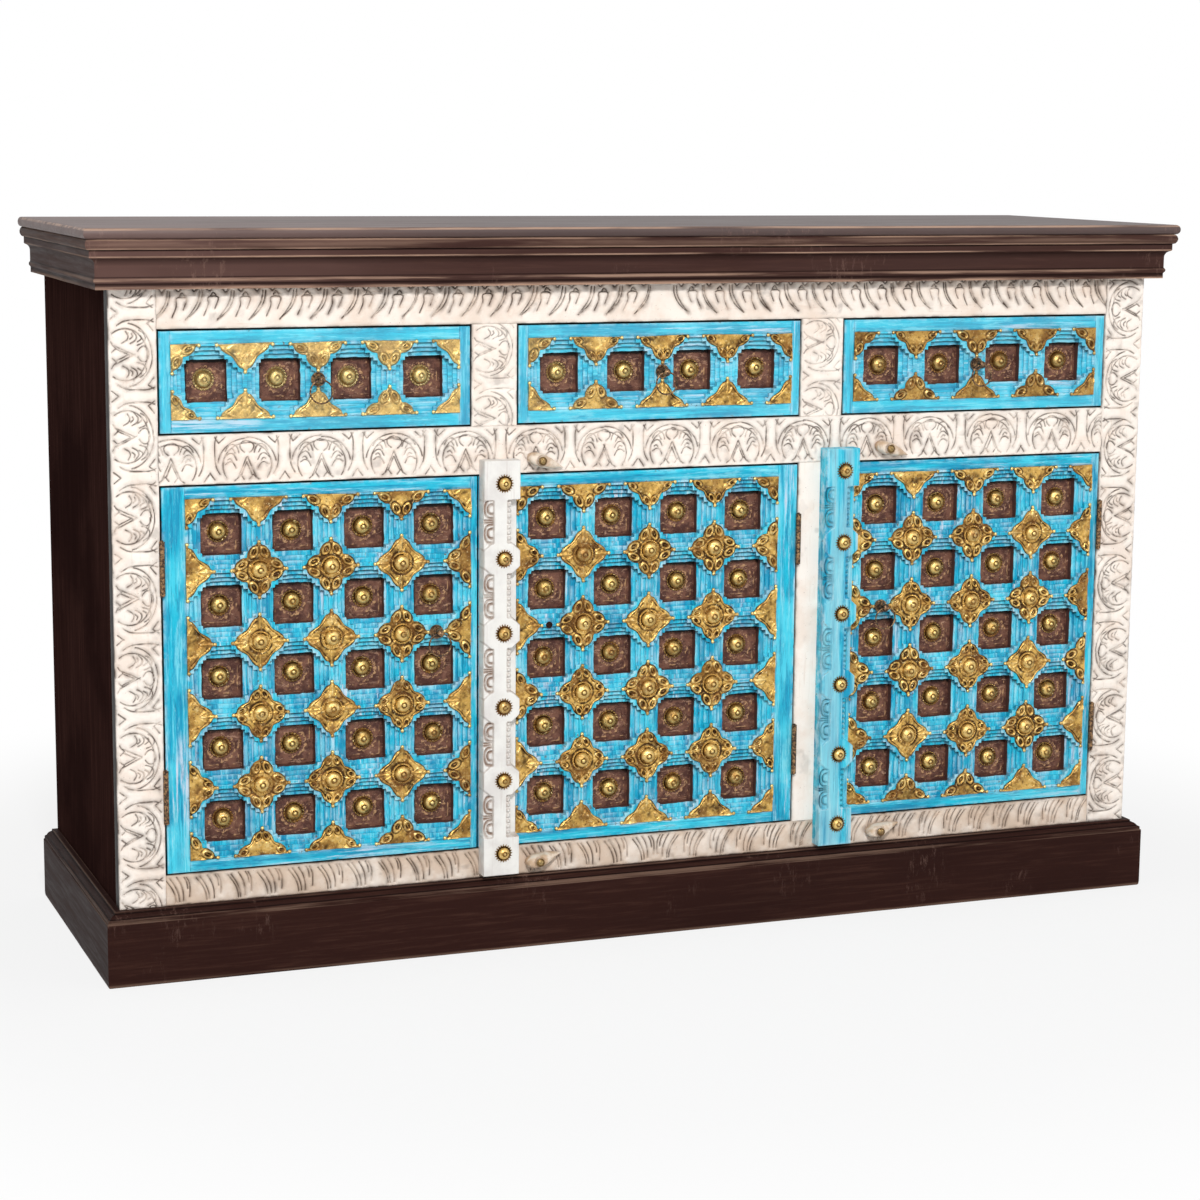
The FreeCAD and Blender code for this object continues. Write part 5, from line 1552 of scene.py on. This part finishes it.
# Turned rows, as for the brass: radius, height and painted light.
BUTTON_FOOT = [(5.2, 0.3, 0.2), (5.2, 3.1, 0.3), (5.9, 2.8, 0.3)]
SCREW_HEAD = [(5.6, -0.8, 0.1), (5.6, 0.5, 0.5), (4.9, 1.1, 0.85), (4.4, 0.5, 0.1), (4.1, 0.7, 0.4),
              (3.3, 1.6, 0.75), (1.8, 2.1, 0.9), (0.3, 2.2, 0.9)]
SLOT_ROWS = (5, 6, 7)
BARE_HOLE = [(4.6, 0.02, 0), (4.2, 0.25, 0), (3.4, 0.1, 0), (2.8, 0.06, 0), (0.4, 0.05, 0)]


def turn_button(word, x, z, tilt):
    """A smooth kite: round head, thick at its screw, thinning to a blunt tip."""
    node_name = "turn_button_%s" % word
    angle = np.arange(BUTTON_SEGMENTS) * 2 * math.pi / BUTTON_SEGMENTS
    out_u = np.where(np.cos(angle) > 0, BUTTON_REACH, BUTTON_HEAD) * np.cos(angle)
    taper = np.clip(out_u / BUTTON_REACH, 0, 1)
    fullness = np.abs(np.sin(angle)) ** (0.9 + 0.9 * taper) * (1 - 0.35 * taper)
    out_v = BUTTON_HALF * np.sign(np.sin(angle)) * fullness
    share = np.linspace(1, 0.02, BUTTON_RINGS)[:, None] ** 0.75
    u, v = share * out_u[None, :], share * out_v[None, :]
    thick = 16.6 - 10.5 * smooth_step(u, 5, BUTTON_REACH)
    crown = thick * (0.5 + 0.5 * (1 - share ** 4) ** 0.6) - 1.6 * ridge(np.hypot(u, v), 0, 5.2, 4)
    bottom = np.stack([out_u, np.full(BUTTON_SEGMENTS, BUTTON_SEAT), out_v], -1)
    top = np.stack([u, BUTTON_SEAT + crown, v], -1).reshape(-1, 3)
    a, b, c = np.concatenate([bottom, top]).T
    turn = math.radians(tilt)
    moved = np.stack([(x + a * math.cos(turn) - c * math.sin(turn)) * MM, FACE_Y - b * MM,
                      (z + a * math.sin(turn) + c * math.cos(turn)) * MM], -1)
    ring = ridge(np.hypot(a, c), 6.6, 1.0) * (b > BUTTON_SEAT + 3)
    # Brown from handling round the screw, and painted shade deepening down the sides towards the
    # foot.
    stain = np.clip(0.5 * np.clip(1 - (b - BUTTON_SEAT) / 7, 0, 1) + 0.7 * ring, 0, 1)
    piece = mesh_object(node_name + "_worn", moved, tube_faces(BUTTON_RINGS + 1, BUTTON_SEGMENTS),
                        {"stain": stain})
    dress(piece, button_wash(), node_name, "button_whitewash", node_name)
    heap = Heap()
    add_turned(heap, turned(BUTTON_FOOT, 40), x * MM, FACE_Y, z * MM)
    dress(heap.build(node_name + "_foot"), button_wash(), node_name, "button_whitewash")


def slot_ripple(number, angles):
    """A ripple for turned: a slot across the last rows of a screw head."""
    return 0, -0.9 * ridge(np.sin(angles) * 3.2, 0, 1) if number in SLOT_ROWS else 0


class SIDEBOARD_OT_turn_buttons(Operator):
    """Build the four turn buttons"""

    bl_idname = "sideboard.turn_buttons"
    bl_label = "Turn Buttons"

    def execute(self, context):
        for word, place in BUTTONS.items():
            turn_button(word, *place)
        self.screws()
        return {"FINISHED"}

    def screws(self):
        """Round brass heads with a slot, each in a cup ring, over their shanks."""
        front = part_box("button_screws")[0].y
        head = turned(SCREW_HEAD, 48, slot_ripple)
        heap = Heap()
        for x, z, _ in BUTTONS.values():
            add_turned(heap, head, x * MM, front + 0.6 * MM, z * MM, x + z)
        dull = brass("brass_screw", tarnish=0.65)
        dress(heap.build("button_screw_heads"), dull, "carcass", "brass_screw")
        repaint("button_screws", dull)


class SIDEBOARD_OT_ironwork(Operator):
    """Finish the ring pulls and hinges, and the bare hole of the missing pull"""

    bl_idname = "sideboard.ironwork"
    bl_label = "Pulls and Hinges"

    def execute(self, context):
        for body in ("left_door", "right_door", "left_drawer", "middle_drawer", "right_drawer"):
            soften(repaint("%s_pull" % body, iron()), 0.5 * MM, 3)
            repaint("%s_ring" % body, iron())
        for name in ("left_door_hinge", "middle_door_hinge", "right_door_hinge", "hinge_frame"):
            repaint(name + "_leaves", iron())
        self.bare_hole()
        return {"FINISHED"}

    def bare_hole(self):
        """A dark disc on the middle door where its pull once was: painted shade for the empty hole,
        on bare wood.
        """
        field = Field("door", "middle")
        x, z = field.at(0.5, 3)
        heap = Heap()
        add_turned(heap, turned(BARE_HOLE, 24), x, field.low.y, z)
        dress(heap.build("middle_door_pull_hole"), bare_wood_and_hole_shade(), "middle_door", "recess_brown")


# Studio

CAMERA_PLACE = (-1.3713, -3.5341, 1.0559)
CAMERA_RIGHT = Vector((0.93329, -0.35901, 0.00897))
CAMERA_DOWN = Vector((-0.05114, -0.15757, -0.98618))
WHITE = (1, 1, 1, 1)
AIM = Vector((0, 0, 0.45))
FLOOR_RINGS = [(12000, 0, 0), (12000, 1, 0), (6000, 1, 0), (2000, 1, 0), (100, 1, 0)]
FLOOR_GAP = 1.2 * MM
SHADE_START, SHADE_END = 0.85, 1.5


def white_to_camera(tree, lit, glow, share=None):
    """Mix a lit shader with plain white that only the camera and reflections see."""
    rays = add_node(tree, "LightPath").outputs
    white = add_node(tree, glow, {"Color": WHITE, "Strength": 1.0})
    seen = rays["Is Camera Ray"]
    for ray in ("Is Glossy Ray", "Is Transmission Ray"):
        seen = add_node(tree, "Math", {0: seen, 1: rays[ray]}, operation="MAXIMUM").outputs[0]
    if share is not None:
        seen = add_node(tree, "Math", {0: seen, 1: share}, operation="MULTIPLY").outputs[0]
    return add_node(tree, "MixShader", {0: seen, 1: lit, 2: white.outputs[0]}).outputs[0]


class SIDEBOARD_OT_studio(Operator):
    """Set up the pale floor, the white surround, the lamps and the camera"""

    bl_idname = "sideboard.studio"
    bl_label = "Studio"

    def execute(self, context):
        settings = context.scene.sideboard_studio
        context.scene.view_settings.view_transform = "Standard"
        self.surround(context.scene, settings)
        self.floor()
        self.lamp("key_lamp", (-1.3, -4.4, 3.2), 0.55, settings.key_power)
        self.lamp("fill_lamp", (2.6, -2.6, 1.6), 2.0, settings.fill_power)
        self.camera(context.scene, settings)
        return {"FINISHED"}

    def surround(self, scene, settings):
        world = bpy.data.worlds.new("surround")
        scene.world = world
        world.use_nodes = True
        tree = world.node_tree
        sky = tree.nodes["Background"]
        sky.inputs["Color"].default_value = WHITE
        sky.inputs["Strength"].default_value = settings.sky
        tree.links.new(white_to_camera(tree, sky.outputs[0], "Background"),
                       tree.nodes["World Output"].inputs["Surface"])

    def floor(self):
        """A wide disc, white far from the sideboard and shaded under it."""
        heap = Heap()
        add_turned(heap, turned(FLOOR_RINGS, 64), 0, 0, 0)
        disc = heap.build("floor")
        disc.rotation_euler = (math.radians(-90), 0, 0)
        disc.location = (0, 0, -FLOOR_GAP)
        f = Finish("floor_white", "floor", specular=0.1)
        f.finish(0.9)
        away = f.node("VectorMath", {0: f.place}, operation="LENGTH")
        share = f.band(away.outputs["Value"], SHADE_START, SHADE_END, 0.8, 1.0)
        f.tree.links.new(white_to_camera(f.tree, f.shader.outputs[0], "Emission", share),
                         f.tree.nodes["Material Output"].inputs["Surface"])
        disc.data.materials.append(f.material)

    def lamp(self, name, place, size, power):
        light = bpy.data.lights.new(name, "AREA")
        light.size = size
        light.energy = power
        lamp = bpy.data.objects.new(name, light)
        bpy.context.scene.collection.objects.link(lamp)
        lamp.location = place
        lamp.rotation_euler = (AIM - Vector(place)).to_track_quat("-Z", "Y").to_euler()

    def camera(self, scene, settings):
        data = bpy.data.cameras.new("photo_view")
        data.sensor_width = 36
        data.lens = settings.lens
        camera = bpy.data.objects.new("photo_view", data)
        scene.collection.objects.link(camera)
        up = -CAMERA_DOWN
        axes = Matrix((CAMERA_RIGHT, up, CAMERA_RIGHT.cross(up))).transposed()
        camera.matrix_world = Matrix.Translation(CAMERA_PLACE) @ axes.to_4x4()
        scene.camera = camera


OPERATORS = (
    SIDEBOARD_OT_boards,
    SIDEBOARD_OT_mouldings,
    SIDEBOARD_OT_carved_rails,
    SIDEBOARD_OT_carved_stiles,
    SIDEBOARD_OT_lattices,
    SIDEBOARD_OT_battens,
    SIDEBOARD_OT_brass,
    SIDEBOARD_OT_turn_buttons,
    SIDEBOARD_OT_ironwork,
    SIDEBOARD_OT_studio,
)


class SIDEBOARD_PT_panel(Panel):
    """Lists the steps that build the sideboard's looks."""

    bl_idname = "SIDEBOARD_PT_panel"
    bl_label = "Carved Sideboard"
    bl_space_type = "VIEW_3D"
    bl_region_type = "UI"
    bl_category = "Sideboard"

    def draw(self, context):
        for operator in OPERATORS:
            self.layout.operator(operator.bl_idname)
        for group in SETTINGS:
            box = self.layout.box()
            settings = getattr(context.scene, group)
            for key in settings.__annotations__:
                box.prop(settings, key)


SETTINGS = {
    "sideboard_colours": SideboardColours,
    "sideboard_lattice": LatticeSizes,
    "sideboard_carving": CarvingSizes,
    "sideboard_brass": BrassSizes,
    "sideboard_studio": StudioSettings,
}
CLASSES = tuple(SETTINGS.values()) + OPERATORS + (SIDEBOARD_PT_panel,)


def register():
    for item in CLASSES:
        bpy.utils.register_class(item)
    for name, group in SETTINGS.items():
        setattr(bpy.types.Scene, name, PointerProperty(type=group))


def unregister():
    for name in SETTINGS:
        delattr(bpy.types.Scene, name)
    for item in reversed(CLASSES):
        bpy.utils.unregister_class(item)


def main():
    """Build everything in order."""
    register()
    for operator in OPERATORS:
        group, name = operator.bl_idname.split(".")
        getattr(getattr(bpy.ops, group), name)()
    bpy.context.view_layer.update()


if __name__ == "__main__":
    main()
